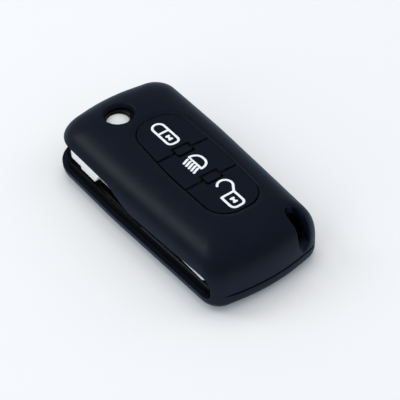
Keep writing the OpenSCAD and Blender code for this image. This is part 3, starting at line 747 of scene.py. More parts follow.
@dataclass
class CoverForm:
    """Sizes of the cover in millimetres, and the outlines and surfaces that follow from them.

    Cutters reach beyond it by over, up to top.
    """

    skin: float = 1.4
    belly_z: float = 5.2
    base_edge_r: float = 3.8
    least_edge_r: float = 0.6
    dome_power: float = 3.3
    dome_end_angle: float = 86.0
    pivot_bulge: float = 3.2
    ring_bulge: float = 3.0
    right_taper: float = 2.0
    left_taper: float = 1.6
    widest_y: float = 8.0
    corner_rs: Tuple[float, float, float, float] = (7.0, 9.5, 6.0, 6.0)
    end_bend_share: float = 0.45
    side_bend_r: float = 250.0
    plan_points: int = 360
    over: float = 1.0

    def __post_init__(self) -> None:
        """Takes the cover's size from the solids and works out the plan."""
        low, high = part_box("cover_skin")
        self.width, self.length, self.height = (high - low) / MM
        self.top = self.height + self.over
        self.half_w, self.half_l = self.width / 2, self.length / 2
        self.spine = self.half_l - self.half_w
        w, l = self.half_w, self.half_l
        pivot_right, pivot_left, ring_left, ring_right = self.corner_rs
        bend = self.end_bend_share * w ** 2
        plan = rounded([
            (w, self.widest_y, self.side_bend_r), (w, l - self.pivot_bulge, pivot_right),
            (0, l, bend / self.pivot_bulge), (-w, l - self.pivot_bulge, pivot_left),
            (-w, self.widest_y, self.side_bend_r), (self.left_taper - w, self.ring_bulge - l, ring_left),
            (0, -l, bend / self.ring_bulge), (w - self.right_taper, self.ring_bulge - l, ring_right)],
            samples=self.plan_points)
        low_xy, high_xy = plan.min(axis=0), plan.max(axis=0)
        self.plan = ((plan - low_xy) / (high_xy - low_xy) * 2 - 1) * np.array([w, l])

    def spine_point(self, at: np.ndarray) -> np.ndarray:
        """Nearest points of the spine that the dome closes on."""
        return np.stack([np.zeros(len(at)), np.clip(at[:, 1], -self.spine, self.spine)], axis=1)

    def ring(self, outline: np.ndarray, share: float, z: float) -> np.ndarray:
        """Outline drawn in towards the spine by a share, at height z."""
        centre = self.spine_point(outline)
        return np.hstack([centre + (outline - centre) * share, np.full((len(outline), 1), z)])

    def dome_z(self, at: np.ndarray) -> np.ndarray:
        """Height of the dome at plan points, taken to be above the belly.

        Args:
            at: The plan points.

        Returns:
            Their heights.
        """
        reach = np.linalg.norm(at - self.spine_point(at), axis=1) / self.half_w
        level = 1 - np.clip(reach, 0, 1) ** self.dome_power
        return self.belly_z + (self.height - self.belly_z) * level ** (1 / self.dome_power)

    def shell_rings(self, depth: float, base_steps: int = 10, dome_steps: int = 46) -> np.ndarray:
        """Rings of the whole closed shell, inset by depth.

        Args:
            depth: How far the rings lie inside the cover's skin.
            base_steps: Rings on the rounded lower edge.
            dome_steps: Rings on the dome.

        Returns:
            The rings, lowest first.
        """
        rings = []
        radius = max(self.base_edge_r - depth, self.least_edge_r)
        for i in range(base_steps):
            angle = math.radians(90 * i / base_steps)
            outline = inset(self.plan, depth + radius * (1 - math.sin(angle)))
            rings.append(self.ring(outline, 1, depth + radius * (1 - math.cos(angle))))
        outline = inset(self.plan, depth)
        rise = self.height - depth - self.belly_z
        top = math.sin(math.radians(self.dome_end_angle))
        for i in range(dome_steps + 1):
            angle = math.radians(self.dome_end_angle * i / dome_steps)
            rings.append(self.ring(outline, math.cos(angle) ** (2 / self.dome_power),
                                   self.belly_z + rise * (math.sin(angle) / top) ** (2 / self.dome_power)))
        return np.array(rings)


@dataclass
class PanelForm:
    """The oval panel with its three pads, in millimetres."""

    form: CoverForm
    at: Point = (2.2, -3.0)
    lean: float = 1.6
    length: float = 43.6
    width: float = 17.4
    end_narrowing: float = 2.0
    corner_r: float = 6.8
    side_r: float = 100.0
    sink: float = 0.45
    crown_r: float = 135.0
    rim_w: float = 1.9
    gap: float = 0.2
    groove: float = 0.8
    middle_l: float = 13.2
    middle_y: float = 0.6
    bar: Point = (4.2, 2.5)
    face_t: float = 0.35
    crown_steps: int = 80

    def __post_init__(self) -> None:
        """Works out the edges between the pads."""
        half = self.length / 2 + self.form.over
        self.edges = (half, self.middle_l / 2 - self.middle_y, -self.middle_l / 2 - self.middle_y, -half)
        self.crown_z = self.form.height - self.sink

    def place(self, points: np.ndarray) -> np.ndarray:
        """Brings points from the panel's own axes to the cover's.

        Args:
            points: Rows of x and y about the panel's middle.

        Returns:
            The same points in the cover.
        """
        angle = math.radians(self.lean)
        x, y = points[:, 0], points[:, 1]
        turned = np.stack([x * math.cos(angle) + y * math.sin(angle),
                           y * math.cos(angle) - x * math.sin(angle)], axis=1)
        return turned + np.array(self.at)

    def outline(self, grow: float, samples: int = 220) -> np.ndarray:
        """Outline of the panel, grown by a distance.

        Args:
            grow: The distance, below zero to shrink it.
            samples: How many points it gets.

        Returns:
            The outline's points.
        """
        w, l = self.width / 2 + grow, self.length / 2 + grow
        end_w, r = w - self.end_narrowing / 2, self.corner_r + grow
        return self.place(rounded([
            (w, 0, self.side_r), (end_w, l, r), (-end_w, l, r),
            (-w, 0, self.side_r), (-end_w, -l, r), (end_w, -l, r)], samples))

    def crown(self, x: np.ndarray) -> np.ndarray:
        """Height of the pads' crown across the cover."""
        return self.crown_z - self.crown_r + np.sqrt(self.crown_r ** 2 - x ** 2)

    def strip(self, name: str, high_y: float, low_y: float, half_w: float) -> Solid:
        """Upright block across the panel between two of its own heights along it."""
        return Solid.upright(name, self.place(rectangle(half_w, low_y, high_y)), 0, self.form.top)

    def crown_slab(self, name: str, thickness: float) -> Solid:
        """Slab under the pads' crown, a thickness deep.

        Args:
            name: Name of the new object.
            thickness: How deep the slab is.

        Returns:
            The slab.
        """
        x = np.linspace(-self.form.half_w, self.form.half_w, self.crown_steps)
        z = self.crown(x)
        profile = np.vstack([np.stack([x, z], axis=1), np.stack([x[::-1], z[::-1] - thickness], axis=1)])
        end = self.form.half_l + self.form.over
        return Solid.prism(name, standing(profile, -end), standing(profile, end))


@dataclass
class SiliconeCover:
    """The sleeve: shell, slot, panel opening, release hole, ring hole with its channel, crease and bars."""

    form: CoverForm
    panel: PanelForm
    material: bpy.types.Material
    pivot: Point = (-3.3, 26.0)
    lip_z: float = 4.3
    shell_edge_z: float = 10.5
    shell_edge_rise: float = 0.7
    head_edge_z: float = 13.0
    ramp_start_y: float = -1.0
    ramp_l: float = 10.0
    slot_end_gap: float = 4.2
    slot_r: float = 3.2
    slot_low_r: float = 1.2
    slot_right_x: float = 13.3
    pivot_end_gap: float = 13.0
    hole_r: float = 4.1
    hole_shift: float = 0.4
    hole_rim_w: float = 0.75
    ring_at: Point = (11.3, -32.6)
    ring_w: float = 3.6
    ring_l: float = 4.4
    dish_r: float = 2.2
    dish_slope: float = 54.0
    dish_start: float = 6.6
    dish_rise: float = 0.44
    notch_z: float = 8.2
    crease_h: float = 0.7
    crease_d: float = 0.6
    crease_rise: float = 1.6
    crease_rise_l: float = 10.0
    crease_floor_share: float = 0.25
    crease_fade_x: float = -15.0
    crease_fade_l: float = 4.0
    crease_least: float = 0.02
    floor_shares: Tuple[float, ...] = (0.02, 0.3, 0.6, 0.85)
    rim_steps: int = 12
    rim_rise: float = 1.15
    bar_r: float = 0.35
    bar_over: float = 0.2
    bar_voxel: float = 0.09
    web_reach: float = 0.4
    web_gap: float = 0.04
    web_t: float = 0.25
    voxel: float = 0.29
    round_passes: int = 7
    settle_near: float = 0.12
    flat_angle: float = 0.4

    def slot(self) -> List[Solid]:
        """Cutters of the blade slot: along the left side, and round the pivot end.

        Returns:
            The cutters.
        """
        form = self.form
        end_y = self.slot_end_gap - form.half_l
        side = rounded([
            (end_y, self.lip_z, self.slot_low_r), (form.length, self.lip_z, self.slot_low_r),
            (form.length, self.head_edge_z, self.slot_low_r),
            (self.ramp_start_y + self.ramp_l, self.head_edge_z, form.half_w),
            (self.ramp_start_y, self.shell_edge_z, form.half_w),
            (end_y, self.shell_edge_z + self.shell_edge_rise, self.slot_r)], samples=260)
        low, high = (np.hstack([np.full((len(side), 1), x), side])
                     for x in (self.pivot_left_x(), -form.half_w - form.over))
        end = rounded([
            (-form.width, self.lip_z, self.slot_low_r), (self.slot_right_x, self.lip_z, self.slot_low_r),
            (self.slot_right_x, self.head_edge_z, self.slot_r),
            (-form.width, self.head_edge_z, self.slot_low_r)], samples=120)
        near_y = form.half_l + form.over
        return [Solid.prism("slot_side", low, high),
                Solid.prism("slot_end", standing(end, near_y), standing(end, near_y - self.pivot_end_gap))]

    def pivot_left_x(self) -> float:
        """Where the side cutter of the slot ends inside the cover."""
        return self.form.corner_rs[1] - self.form.half_w

    def channel(self, grow: float) -> List[Solid]:
        """Cutters of the channel that leads the key ring over the end.

        Args:
            grow: How much wider than the channel they are.

        Returns:
            The cutters.
        """
        form = self.form
        start = Vector((self.ring_at[0], self.dish_start - form.half_l,
                        form.height - form.skin + self.dish_rise))
        angle = math.radians(90 + self.dish_slope)
        way = Vector((0, -math.sin(angle), math.cos(angle))) * form.height
        return [Solid.ball("channel_start", start, self.dish_r + grow),
                Solid.cylinder("channel", start, start + way, self.dish_r + grow)]

    def ring_hole(self) -> List[Solid]:
        """Cutters of the hole for the key ring, and of the notch that bares the key below it.

        Returns:
            The cutters.
        """
        w, l = self.ring_w / 2, self.ring_l / 2
        hole = rounded_box((-w, -l), (w, l), w * ROUND_END, w * ROUND_END, samples=72)
        notch = rounded_box((-w, -l - self.form.half_w), (w, l), w / 2, w * ROUND_END, samples=96)
        return [Solid.upright("ring_hole", hole + np.array(self.ring_at), -self.form.over, self.form.top),
                Solid.upright("ring_notch", notch + np.array(self.ring_at), self.notch_z, self.form.top)]

    def release_hole(self) -> List[Solid]:
        """Cutters of the hole over the release button, with its soft rim.

        Returns:
            The cutters.
        """
        form = self.form
        x, y = self.pivot[0] + self.hole_shift, self.pivot[1]
        low, rim, rim_top, top = (Vector((x, y, z)) for z in (
            form.belly_z, form.height - form.skin, form.height + form.over / 2, form.top))
        return [Solid.cylinder("release_hole", low, top, self.hole_r),
                Solid.cylinder("release_rim", rim, rim_top, self.hole_r, self.hole_r + self.hole_rim_w)]

    def panel_dish(self) -> Solid:
        """Cutter that lets the panel down into the dome with a soft rim.

        Returns:
            The cutter.
        """
        rings = []
        bottom = self.panel.outline(0)
        for share in self.floor_shares:
            inner = bottom.mean(axis=0) + (bottom - bottom.mean(axis=0)) * share
            rings.append(np.hstack([inner, (self.form.dome_z(inner) - self.panel.sink)[:, None]]))
        for i in range(self.rim_steps + 1):
            share = i / self.rim_steps
            at = self.panel.outline(self.panel.rim_w * share)
            depth = self.panel.sink * (1 - share * share * (3 - 2 * share) * self.rim_rise)
            rings.append(np.hstack([at, (self.form.dome_z(at) - depth)[:, None]]))
        top = rings[-1][:, :2]
        rings.append(np.hstack([top, np.full((len(top), 1), self.form.top)]))
        return Solid.loft("panel_dish", np.array(rings))

    def crease(self) -> Solid:
        """Cutter of the crease, swept from the slot's end by the blade's tip round to its other end.

        Returns:
            The cutter.
        """
        form = self.form
        outer, inner = inset(form.plan, -form.over), inset(form.plan, self.crease_d)
        count = len(form.plan)
        first = int(np.argmin(np.abs(form.plan[:, 1] - (self.slot_end_gap - form.half_l))
                              + (form.plan[:, 0] > 0) * form.length))
        h, floor = self.crease_h, self.crease_h * self.crease_floor_share
        rings = []
        for step in range(count):
            k = (first + step) % count
            x, y = form.plan[k]
            if y > form.half_w and x < self.slot_right_x:
                break
            z, fade = form.belly_z, 1
            if y < -form.half_w:
                left = min(max(1 - (x + form.half_w) / self.crease_rise_l, 0), 1)
                z += self.crease_rise * left ** 2
                fade = min(max((x - self.crease_fade_x) / self.crease_fade_l, self.crease_least), 1)
            ax, ay = outer[k]
            bx, by = form.plan[k] + (inner[k] - form.plan[k]) * fade
            rings.append([(ax, ay, z - h), (bx, by, z - floor), (bx, by, z + floor), (ax, ay, z + h)])
        return Solid.loft("crease", np.array(rings))

    def bars(self) -> Solid:
        """The two divider bars that the pads are notched for, and the webs under the grooves.

        Returns:
            The bars and webs as one mesh.
        """
        panel, pieces = self.panel, []
        w, l = panel.bar
        web_w, web_l = panel.width / 2 + self.web_reach, panel.groove / 2 - self.web_gap
        low_z = self.form.height - self.form.skin
        for y in panel.edges[1:3]:
            corners = rounded_box((-w / 2, y - l / 2), (w / 2, y + l / 2), self.bar_r, self.bar_r, samples=96)
            bar = Solid.upright("bar", panel.place(corners), low_z, self.form.height + self.bar_over)
            bar.combine(Combine.KEEP, panel.crown_slab("crown", self.form.skin + self.bar_over))
            bar.soften(self.bar_voxel, passes=4)
            web = Solid.upright("web", panel.place(rectangle(web_w, y - web_l, y + web_l)), low_z,
                                low_z + self.web_t)
            pieces += [bar, web]
        return pieces[0].join(*pieces[1:])

    def build(self) -> None:
        """Builds the sleeve and its divider bars."""
        shell = Solid.loft("shell", self.form.shell_rings(0))
        shell.combine(Combine.CUT, self.panel_dish(), *self.channel(0), *self.ring_hole(),
                      *self.release_hole(),
                      Solid.upright("panel_hole", self.panel.outline(0), self.form.belly_z, self.form.top))
        shell.soften(self.voxel, self.round_passes)
        shell.settle(Solid.loft("smooth_shell", self.form.shell_rings(0)), self.settle_near)
        shell.merge_flats(self.flat_angle)
        shell.modify("TRIANGULATE")
        inner_rings = self.form.shell_rings(self.form.skin, base_steps=6, dome_steps=24)
        key_space = Solid.loft("key_space", inner_rings)
        key_space.combine(Combine.CUT, *self.channel(self.form.skin))
        shell.combine(Combine.CUT, key_space, self.crease(), *self.slot())
        shell.finish("silicone_sleeve", Body.BASE, Slot.SILICONE, self.material, ["cover_skin"], sharp=50)
        self.bars().finish("divider_bars", Body.BASE, Slot.SILICONE, self.material, sharp=40)


class Symbol(Enum):
    """Printed symbols of the pads."""

    CLOSED_LOCK = "closed_lock"
    HEADLAMP = "headlamp"
    OPEN_LOCK = "open_lock"


@dataclass
class SymbolPrint:
    """Draws the symbols as raised white print, from strokes in the cover's plan."""

    panel: PanelForm
    material: bpy.types.Material
    stroke: float = 0.74
    relief: float = 0.07
    keyhole: Point = (1.4, 2.15)
    keyhole_end_ratio: float = 2.4
    lock_low: Point = (0.42, 6.55)
    lock_high: Point = (4.02, 15.9)
    lock_low_share: float = 0.36
    divider_y: float = 12.0
    lamp_flat_x: float = 1.75
    lamp_low_y: float = -6.0
    lamp_high_y: float = -0.4
    lamp_nose_x: float = 4.6
    lamp_power: float = 0.8
    beam_count: int = 5
    beam_inset: Point = (0.5, 0.55)
    beam_start_x: float = 0.95
    beam_l: float = 1.75
    beam_drop: float = 0.7
    body_low: Point = (-0.85, -23.35)
    body_high: Point = (3.25, -18.2)
    body_rs: Point = (1.35, 0.1)
    body_keyhole_drop: float = 0.05
    hook_at: Point = (2.75, -15.05)
    hook_r: float = 2.1
    hook_turn: Point = (-30, 152)
    hook_inset: float = 0.05
    voxel: float = 0.1
    flatten: float = 2.2

    def closed(self, points: Iterable[Point]) -> List[Point]:
        """A stroke through points and back to the first."""
        stroke = [(x, y) for x, y in points]
        return stroke + stroke[:1]

    def arc(self, centre: Point, radius: float, start: float, end: float, steps: int = 24) -> List[Point]:
        """Points of an arc between two angles in degrees.

        Args:
            centre: The arc's centre.
            radius: Its radius.
            start: Its first angle.
            end: Its last angle.
            steps: How many steps it is drawn in.

        Returns:
            The points.
        """
        turns = [math.radians(start + (end - start) * i / steps) for i in range(steps + 1)]
        return [(centre[0] + radius * math.cos(a), centre[1] + radius * math.sin(a)) for a in turns]

    def hourglass(self, centre: Point) -> List[List[Point]]:
        """Strokes of a keyhole shaped like an hourglass.

        Args:
            centre: The middle of the keyhole.

        Returns:
            The strokes.
        """
        w, l = self.keyhole
        x, y = centre
        half = l / 2 - self.stroke / 2
        wide = w / 2 - self.stroke / self.keyhole_end_ratio
        return [[(x - wide, y + half), (x + wide, y + half)], [(x, y + half), (x, y - half)],
                [(x - wide, y - half), (x + wide, y - half)]]

    def closed_lock(self) -> List[List[Point]]:
        """The closed padlock, with a line between its body and its shackle.

        Returns:
            Its strokes, each a list of points.
        """
        (x0, y0), (x1, _) = self.lock_low, self.lock_high
        w = x1 - x0
        body = rounded_box(self.lock_low, self.lock_high, w * self.lock_low_share, w / 2 * ROUND_END,
                           samples=120)
        return [self.closed(body), [(x0, self.divider_y), (x1, self.divider_y)],
                *self.hourglass(((x0 + x1) / 2, (y0 + self.divider_y) / 2))]

    def headlamp(self) -> List[List[Point]]:
        """The headlamp with its slanting beams.

        Returns:
            Its strokes, each a list of points.
        """
        mid = (self.lamp_low_y + self.lamp_high_y) / 2
        half, depth = (self.lamp_high_y - self.lamp_low_y) / 2, self.lamp_nose_x - self.lamp_flat_x
        turns = np.linspace(-math.pi / 2, math.pi / 2, num=40)
        rises = np.copysign(np.abs(np.sin(turns)) ** self.lamp_power, np.sin(turns))
        dome = zip(self.lamp_flat_x + depth * np.cos(turns), mid + half * rises)
        high_y, low_y = self.lamp_high_y - self.beam_inset[0], self.lamp_low_y + self.beam_inset[1]
        return [self.closed(dome)] + [
            [(self.beam_start_x, y), (self.beam_start_x - self.beam_l, y - self.beam_drop)]
            for y in np.linspace(high_y, low_y, self.beam_count)]

    def open_lock(self) -> List[List[Point]]:
        """The open padlock, whose shackle stands off to one side.

        Returns:
            Its strokes, each a list of points.
        """
        (x0, y0), (x1, y1) = self.body_low, self.body_high
        body = rounded_box(self.body_low, self.body_high, *self.body_rs, samples=120)
        hook = [(x1 - self.hook_inset, y1)] + self.arc(self.hook_at, self.hook_r, *self.hook_turn)
        return [self.closed(body), hook,
                *self.hourglass(((x0 + x1) / 2, (y0 + y1) / 2 - self.body_keyhole_drop))]

    def strokes(self, symbol: Symbol) -> List[List[Point]]:
        """All strokes of a symbol."""
        return {Symbol.CLOSED_LOCK: self.closed_lock, Symbol.HEADLAMP: self.headlamp,
                Symbol.OPEN_LOCK: self.open_lock}[symbol]()

    def tube(self, points: Sequence[Point]) -> Solid:
        """A round stroke along points, which build flattens to the print's relief."""
        return Solid.wire("stroke", [(x, y, 0) for x, y in points], self.stroke / 2, resolution=3)

    def build(self, symbol: Symbol, body: Body) -> None:
        """Builds one symbol on its pad.

        Args:
            symbol: The symbol.
            body: Body of the pad.
        """
        parts = []
        for points in self.strokes(symbol):
            parts.append(self.tube(points))
            for x, y in (points[0], points[-1]):
                parts.append(Solid.ball("stroke_end", Vector((x, y, 0)), self.stroke / 2))
        solid = parts[0].join(*parts[1:])
        solid.soften(self.voxel, passes=2)

        def lay(co: np.ndarray) -> np.ndarray:
            """Lays the flattened strokes on the crown.

            Args:
                co: Points of the round strokes.

            Returns:
                Their places in the print.
            """
            out = co.copy()
            height = np.clip(co[:, 2] * self.flatten / (self.stroke / 2), -1, 1)
            out[:, 2] = self.panel.crown(co[:, 0]) + self.relief * height
            return out

        solid.move_points(lay)
        solid.finish(symbol.value + "_print", body, Slot.PAD, self.material, sharp=80)


@dataclass
class ButtonPads:
    """The three silicone pads of the panel, with their printed symbols."""

    panel: PanelForm
    material: bpy.types.Material
    prints: SymbolPrint
    overhang: float = 0.55
    skim: float = 0.07
    voxel: float = 0.11

    def pad(self, index: int, drawn_in: float, thickness: float) -> Solid:
        """One pad's face or block.

        Args:
            index: Number of the pad from the pivot end.
            drawn_in: How far its edges are drawn in.
            thickness: Thickness under the crown.

        Returns:
            The solid under the crown.
        """
        panel = self.panel
        high, low = panel.edges[index], panel.edges[index + 1]
        side = panel.groove / 2 + drawn_in
        face = Solid.upright("pad", panel.outline(-panel.gap - drawn_in), 0, panel.form.top)
        face.combine(Combine.KEEP, panel.strip("strip", high - side, low + side, panel.form.half_w))
        grow = panel.groove + drawn_in
        for y in panel.edges[1:3]:
            face.combine(Combine.CUT, panel.strip("notch", y + panel.bar[1] / 2 + grow,
                                                  y - panel.bar[1] / 2 - grow, panel.bar[0] / 2 + grow))
        return face.combine(Combine.KEEP, panel.crown_slab("crown", thickness))

    def level(self, co: np.ndarray) -> np.ndarray:
        """Lays the points just under the crown on it, so that its curve stays even.

        Args:
            co: Points of a pad's face.

        Returns:
            Their places on the crown.
        """
        out = co.copy()
        crown = self.panel.crown(co[:, 0])
        out[:, 2] = crown - np.maximum(crown - co[:, 2] - self.skim, 0)
        return out

    def build(self) -> None:
        """Builds the pads and their symbols."""
        rows = zip(("lock", "light", "unlock"), (Body.LOCK, Body.LIGHT, Body.UNLOCK), Symbol)
        for index, (name, body, symbol) in enumerate(rows):
            face = self.pad(index, 0, self.panel.face_t).soften(self.voxel, passes=5).move_points(self.level)
            block = self.pad(index, self.overhang, self.panel.form.skin - self.panel.sink)
            block.modify("TRIANGULATE")
            face.join(block)
            face.finish(name + "_pad_face", body, Slot.PAD, self.material, [name + "_pad"], sharp=45)
            self.prints.build(symbol, body)


@dataclass(frozen=True)
class MetalPiece:
    """A metal node that gets rounded edges.

    The corner by the slot and the key ring, within a distance of the node's lowest x and y, is drawn out
    by reach.
    """

    node: str
    body: Body
    slot: Slot
    finish: Finish
    edge_r: float
    reach: Point = (0, 0)
    within: Point = (0, 0)


@dataclass
class MetalParts:
    """Metal pieces: bevelled doubles of the blade, its head, pin and the release button, and the spring."""

    effects: Effects
    packed: Packed
    spring_turns: int = 6
    turn_steps: int = 40
    spring_r: float = 2.0
    spring_keep: float = 0.83
    wire_r: float = 0.35
    weld: float = 0.005
    flat_angle: float = 0.6
    edge_angle: float = 30.0
    pieces: Tuple[MetalPiece, ...] = (
        MetalPiece("blade_head", Body.BLADE, Slot.HEAD, SATIN, 0.22, reach=(0, -1.5), within=(10, 1)),
        MetalPiece("blade", Body.BLADE, Slot.BLADE, BLADE_STEEL, 0.14, reach=(-0.6, 0), within=(0.3, 6)),
        MetalPiece("blade_pin", Body.BLADE, Slot.STEEL, SPRING_STEEL, 0.1),
        MetalPiece("release_button", Body.RELEASE, Slot.BUTTON, PEARL, 0.16))

    def round_edges(self, piece: MetalPiece) -> None:
        """Replaces a node by its double with rounded edges.

        Args:
            piece: The node, with its body, slot, finish and rounding.
        """
        deselect_all()
        obj = new_object(piece.node + "_dressed", self.packed[piece.node].data.copy())
        select_only(obj)
        bpy.ops.object.mode_set(mode="EDIT")
        bpy.ops.mesh.select_all(action="SELECT")
        bpy.ops.mesh.remove_doubles(threshold=self.weld * MM)
        bpy.ops.mesh.dissolve_limited(angle_limit=math.radians(self.flat_angle))
        bpy.ops.object.mode_set(mode="OBJECT")
        solid = Solid(obj).move_points(lambda co: co / MM)
        solid.move_points(lambda co: co + np.outer(
            (co[:, :2] <= co[:, :2].min(axis=0) + piece.within).all(axis=1), (*piece.reach, 0)))
        solid.modify("BEVEL", width=piece.edge_r, segments=3, limit_method="ANGLE",
                     angle_limit=math.radians(self.edge_angle), harden_normals=False, miter_outer="MITER_ARC")
        solid.finish(piece.node + "_piece", piece.body, piece.slot, piece.finish.build(self.effects),
                     [piece.node], sharp=32)

    def spring(self) -> None:
        """Winds the flip spring as one smooth wire."""
        bottom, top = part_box("flip_spring")
        middle = (bottom + top) / 2 / MM
        steps = self.spring_turns * self.turn_steps
        low, high = bottom.z / MM + self.wire_r, top.z / MM - self.wire_r
        points = []
        for i in range(steps + 1):
            turn = 2 * math.pi * self.spring_turns * i / steps
            points.append((middle.x + self.spring_r * math.cos(turn),
                           middle.y + self.spring_r * math.sin(turn), low + (high - low) * i / steps))
        wire = Solid.wire("flip_spring_wire", points, self.wire_r, resolution=4)
        obj = wire.finish("flip_spring_wire", Body.BASE, Slot.STEEL, SPRING_STEEL.build(self.effects),
                          ["flip_spring"])
        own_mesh(obj)

    def build(self) -> None:
        """Builds all metal pieces."""
        for piece in self.pieces:
            self.round_edges(piece)
        self.spring()


@dataclass
class KeyInside:
    """Finishes of the nodes that stay as they are: housings, rubber, board and electronics."""

    effects: Effects
    packed: Packed
    finishes: Tuple[Tuple[Tuple[str, ...], Finish], ...] = (
        (("upper_housing", "lower_housing"), CASING),
        (("keypad_mat", "lock_key", "light_key", "unlock_key"),
         Finish("key_rubber", (0.03, 0.03, 0.034), (0.038, 0.038, 0.042), 0.62, grain_depth=0.01)),
        (("circuit_board",),
         Finish("board_mask", (0.012, 0.09, 0.035), (0.02, 0.12, 0.05), 0.3, mottle_size=700, coat=0.3,
                grain_size=1800)),
        (("switch_bodies",),
         Finish("switch_moulding", (0.45, 0.45, 0.43), (0.52, 0.52, 0.5), 0.5, mottle_size=400)),
        (("lock_plunger", "light_plunger", "unlock_plunger"),
         Finish("plunger_moulding", (0.66, 0.66, 0.62), (0.72, 0.72, 0.69), 0.45, mottle_size=500)),
        (("controller_chip", "transponder"),
         Finish("chip_epoxy", (0.012, 0.012, 0.014), (0.02, 0.02, 0.022), 0.55, mottle_size=800)),
        (("crystal", "housing_screw"),
         Finish("plated_steel", (0.55, 0.55, 0.56), (0.64, 0.64, 0.64), 0.24, metallic=1)),
        (("antenna_coil",),
         Finish("copper_winding", (0.5, 0.2, 0.08), (0.62, 0.28, 0.13), 0.35, metallic=0.8, grain_size=3000,
                grain_depth=0.03, grain_stretch=(3, 0.2, 0.2))),
        (("coin_cell",),
         Finish("cell_steel", (0.6, 0.6, 0.6), (0.68, 0.68, 0.68), 0.22, metallic=1, grain_size=1500,
                grain_stretch=(1, 0.1, 1))),
        (("cell_contact_top", "cell_contact_bottom"),
         Finish("contact_strip", (0.6, 0.48, 0.26), (0.68, 0.56, 0.33), 0.3, metallic=1)))

    def build(self) -> None:
        """Puts each finish on its nodes."""
        for names, finish in self.finishes:
            material = finish.build(self.effects)
            for name in names:
                materials = self.packed[name].data.materials
                materials.clear()
                materials.append(material)
                log.info("%s takes the finish %s", name, finish.name)


@dataclass(frozen=True)
class Lamp:
    """A soft rectangular lamp that faces the key, placed in metres. Glossy surfaces mirror it if asked."""

    name: str
    at: Place
    size: Point
    power: float
    colour: Colour
    mirrored: bool = False

    def build(self) -> None:
        """Adds the lamp."""
        data = bpy.data.lights.new(self.name, "AREA")
        data.shape = "RECTANGLE"
        data.size, data.size_y = self.size
        data.energy = self.power
        data.color = self.colour
        obj = new_object(self.name, data)
        obj.location = self.at
        obj.rotation_euler = (-Vector(self.at)).to_track_quat("-Z", "Y").to_euler()
        obj.visible_glossy = self.mirrored


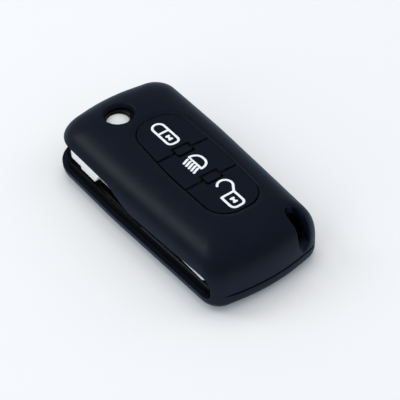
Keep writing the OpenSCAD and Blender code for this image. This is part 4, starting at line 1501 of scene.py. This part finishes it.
@dataclass
class Studio:
    """Floor, sky, lamps and the photograph's camera, whose sizes are in millimetres."""

    azimuth: float = 0.60266
    elevation: float = 0.77118
    scale: float = 3.69796
    centre: Point = (184.16717, 183.15713)
    roll: float = -0.05051
    distance: float = 420.0
    picture: float = 400.0
    sensor: float = 36.0
    floor_colour: Colour = (0.89, 0.855, 0.83)
    floor_other: Colour = (0.92, 0.88, 0.855)
    mirrored_floor: Colour = (0.5, 0.62, 0.78)
    glow_colour: Colour = (0.97, 0.985, 1)
    floor_roughness: float = 0.5
    floor_specular: float = 0.2
    floor_glow: float = 0.05
    sky_colour: Colour = (0.7, 0.855, 1)
    sky: float = 0.645
    mirrored_sky: float = 0.24
    lamps: Tuple[Lamp, ...] = (
        Lamp("overhead", (0.1, 0.2, 0.9), (0.7, 0.7), 3.15, (1, 0.905, 0.815)),
        Lamp("fill", (0.7, -0.3, 0.6), (0.5, 0.5), 0.9, (1, 0.955, 0.91)),
        Lamp("left", (-0.8, -0.25, 0.4), (0.5, 0.4), 1.25, (1, 0.92, 0.85)),
        Lamp("shoulder", (-0.47, 0.59, 0.66), (0.3, 0.5), 2.0, (0.86, 0.93, 1), mirrored=True))

    def camera(self) -> None:
        """Places the camera that was fitted to the photograph."""
        turn, rise = self.azimuth, self.elevation
        back = Vector((-math.sin(turn) * math.cos(rise), -math.cos(turn) * math.cos(rise), math.sin(rise)))
        right = Vector((math.cos(turn), -math.sin(turn), 0))
        up = back.cross(right)
        side = right * math.cos(self.roll) + up * math.sin(self.roll)
        head = up * math.cos(self.roll) - right * math.sin(self.roll)
        focal = self.scale * self.distance
        _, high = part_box("cover_skin")
        at = Vector((0, 0, high.z / MM / 2)) + back * self.distance
        at -= side * ((self.centre[0] - self.picture / 2) / self.scale)
        at += head * ((self.centre[1] - self.picture / 2) / self.scale)
        data = bpy.data.cameras.new("camera")
        data.sensor_width = self.sensor
        data.lens = focal / self.picture * self.sensor
        data.clip_start, data.clip_end = 0.01, 20
        obj = new_object("camera", data)
        at *= MM
        obj.matrix_world = Matrix(((side.x, head.x, back.x, at.x), (side.y, head.y, back.y, at.y),
                                   (side.z, head.z, back.z, at.z), (0, 0, 0, 1)))
        bpy.context.scene.camera = obj

    def floor(self) -> None:
        """Lays the floor, pale to the camera and cooler where the key mirrors it."""
        deselect_all()
        bpy.ops.mesh.primitive_plane_add(size=6)
        plane = bpy.context.object
        plane.name = "floor"
        material, nodes, shader = new_material("pale_floor")
        place = nodes.add("ShaderNodeTexCoord").outputs["Object"]
        noise = nodes.add("ShaderNodeTexNoise", {"Vector": place, "Scale": 3.0, "Detail": 2.0})
        tint = nodes.blend(noise.outputs["Fac"], (*self.floor_colour, 1), (*self.floor_other, 1))
        path = nodes.add("ShaderNodeLightPath")
        cool = nodes.blend(path.outputs["Is Glossy Ray"], tint, (*self.mirrored_floor, 1))
        seen = nodes.math("MAXIMUM", path.outputs["Is Camera Ray"], path.outputs["Is Glossy Ray"])
        nodes.feed(shader, Base_Color=cool, Emission_Color=(*self.glow_colour, 1),
                   Emission_Strength=nodes.math("MULTIPLY", seen, self.floor_glow),
                   Roughness=self.floor_roughness, Specular_IOR_Level=self.floor_specular)
        plane.data.materials.append(material)

    def world(self) -> None:
        """Lights the scene softly from all round."""
        world = bpy.data.worlds.new("studio")
        bpy.context.scene.world = world
        world.use_nodes = True
        back = world.node_tree.nodes["Background"]
        back.inputs["Color"].default_value = (*self.sky_colour, 1)
        nodes = Nodes(world.node_tree)
        glossy = nodes.add("ShaderNodeLightPath").outputs["Is Glossy Ray"]
        level = nodes.add("ShaderNodeMapRange", {"Value": glossy, "To Min": self.sky,
                                                 "To Max": self.mirrored_sky})
        nodes.feed(back, Strength=level.outputs["Result"])

    def build(self) -> None:
        """Sets up the whole studio."""
        self.camera()
        self.floor()
        self.world()
        for lamp in self.lamps:
            lamp.build()
        bpy.context.scene.view_settings.view_transform = "Standard"


def main() -> None:
    """Builds every piece in order."""
    logging.basicConfig(level=logging.INFO, format="%(name)s: %(message)s")
    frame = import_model()
    effects = Effects()
    Studio().build()
    form = CoverForm()
    panel = PanelForm(form)
    SiliconeCover(form, panel, SILICONE.build(effects)).build()
    ButtonPads(panel, PAD_SILICONE.build(effects), SymbolPrint(panel, PRINT.build(effects))).build()
    MetalParts(effects, frame["nodes"]).build()
    KeyInside(effects, frame["nodes"]).build()
    deselect_all()


if __name__ == "__main__":
    main()
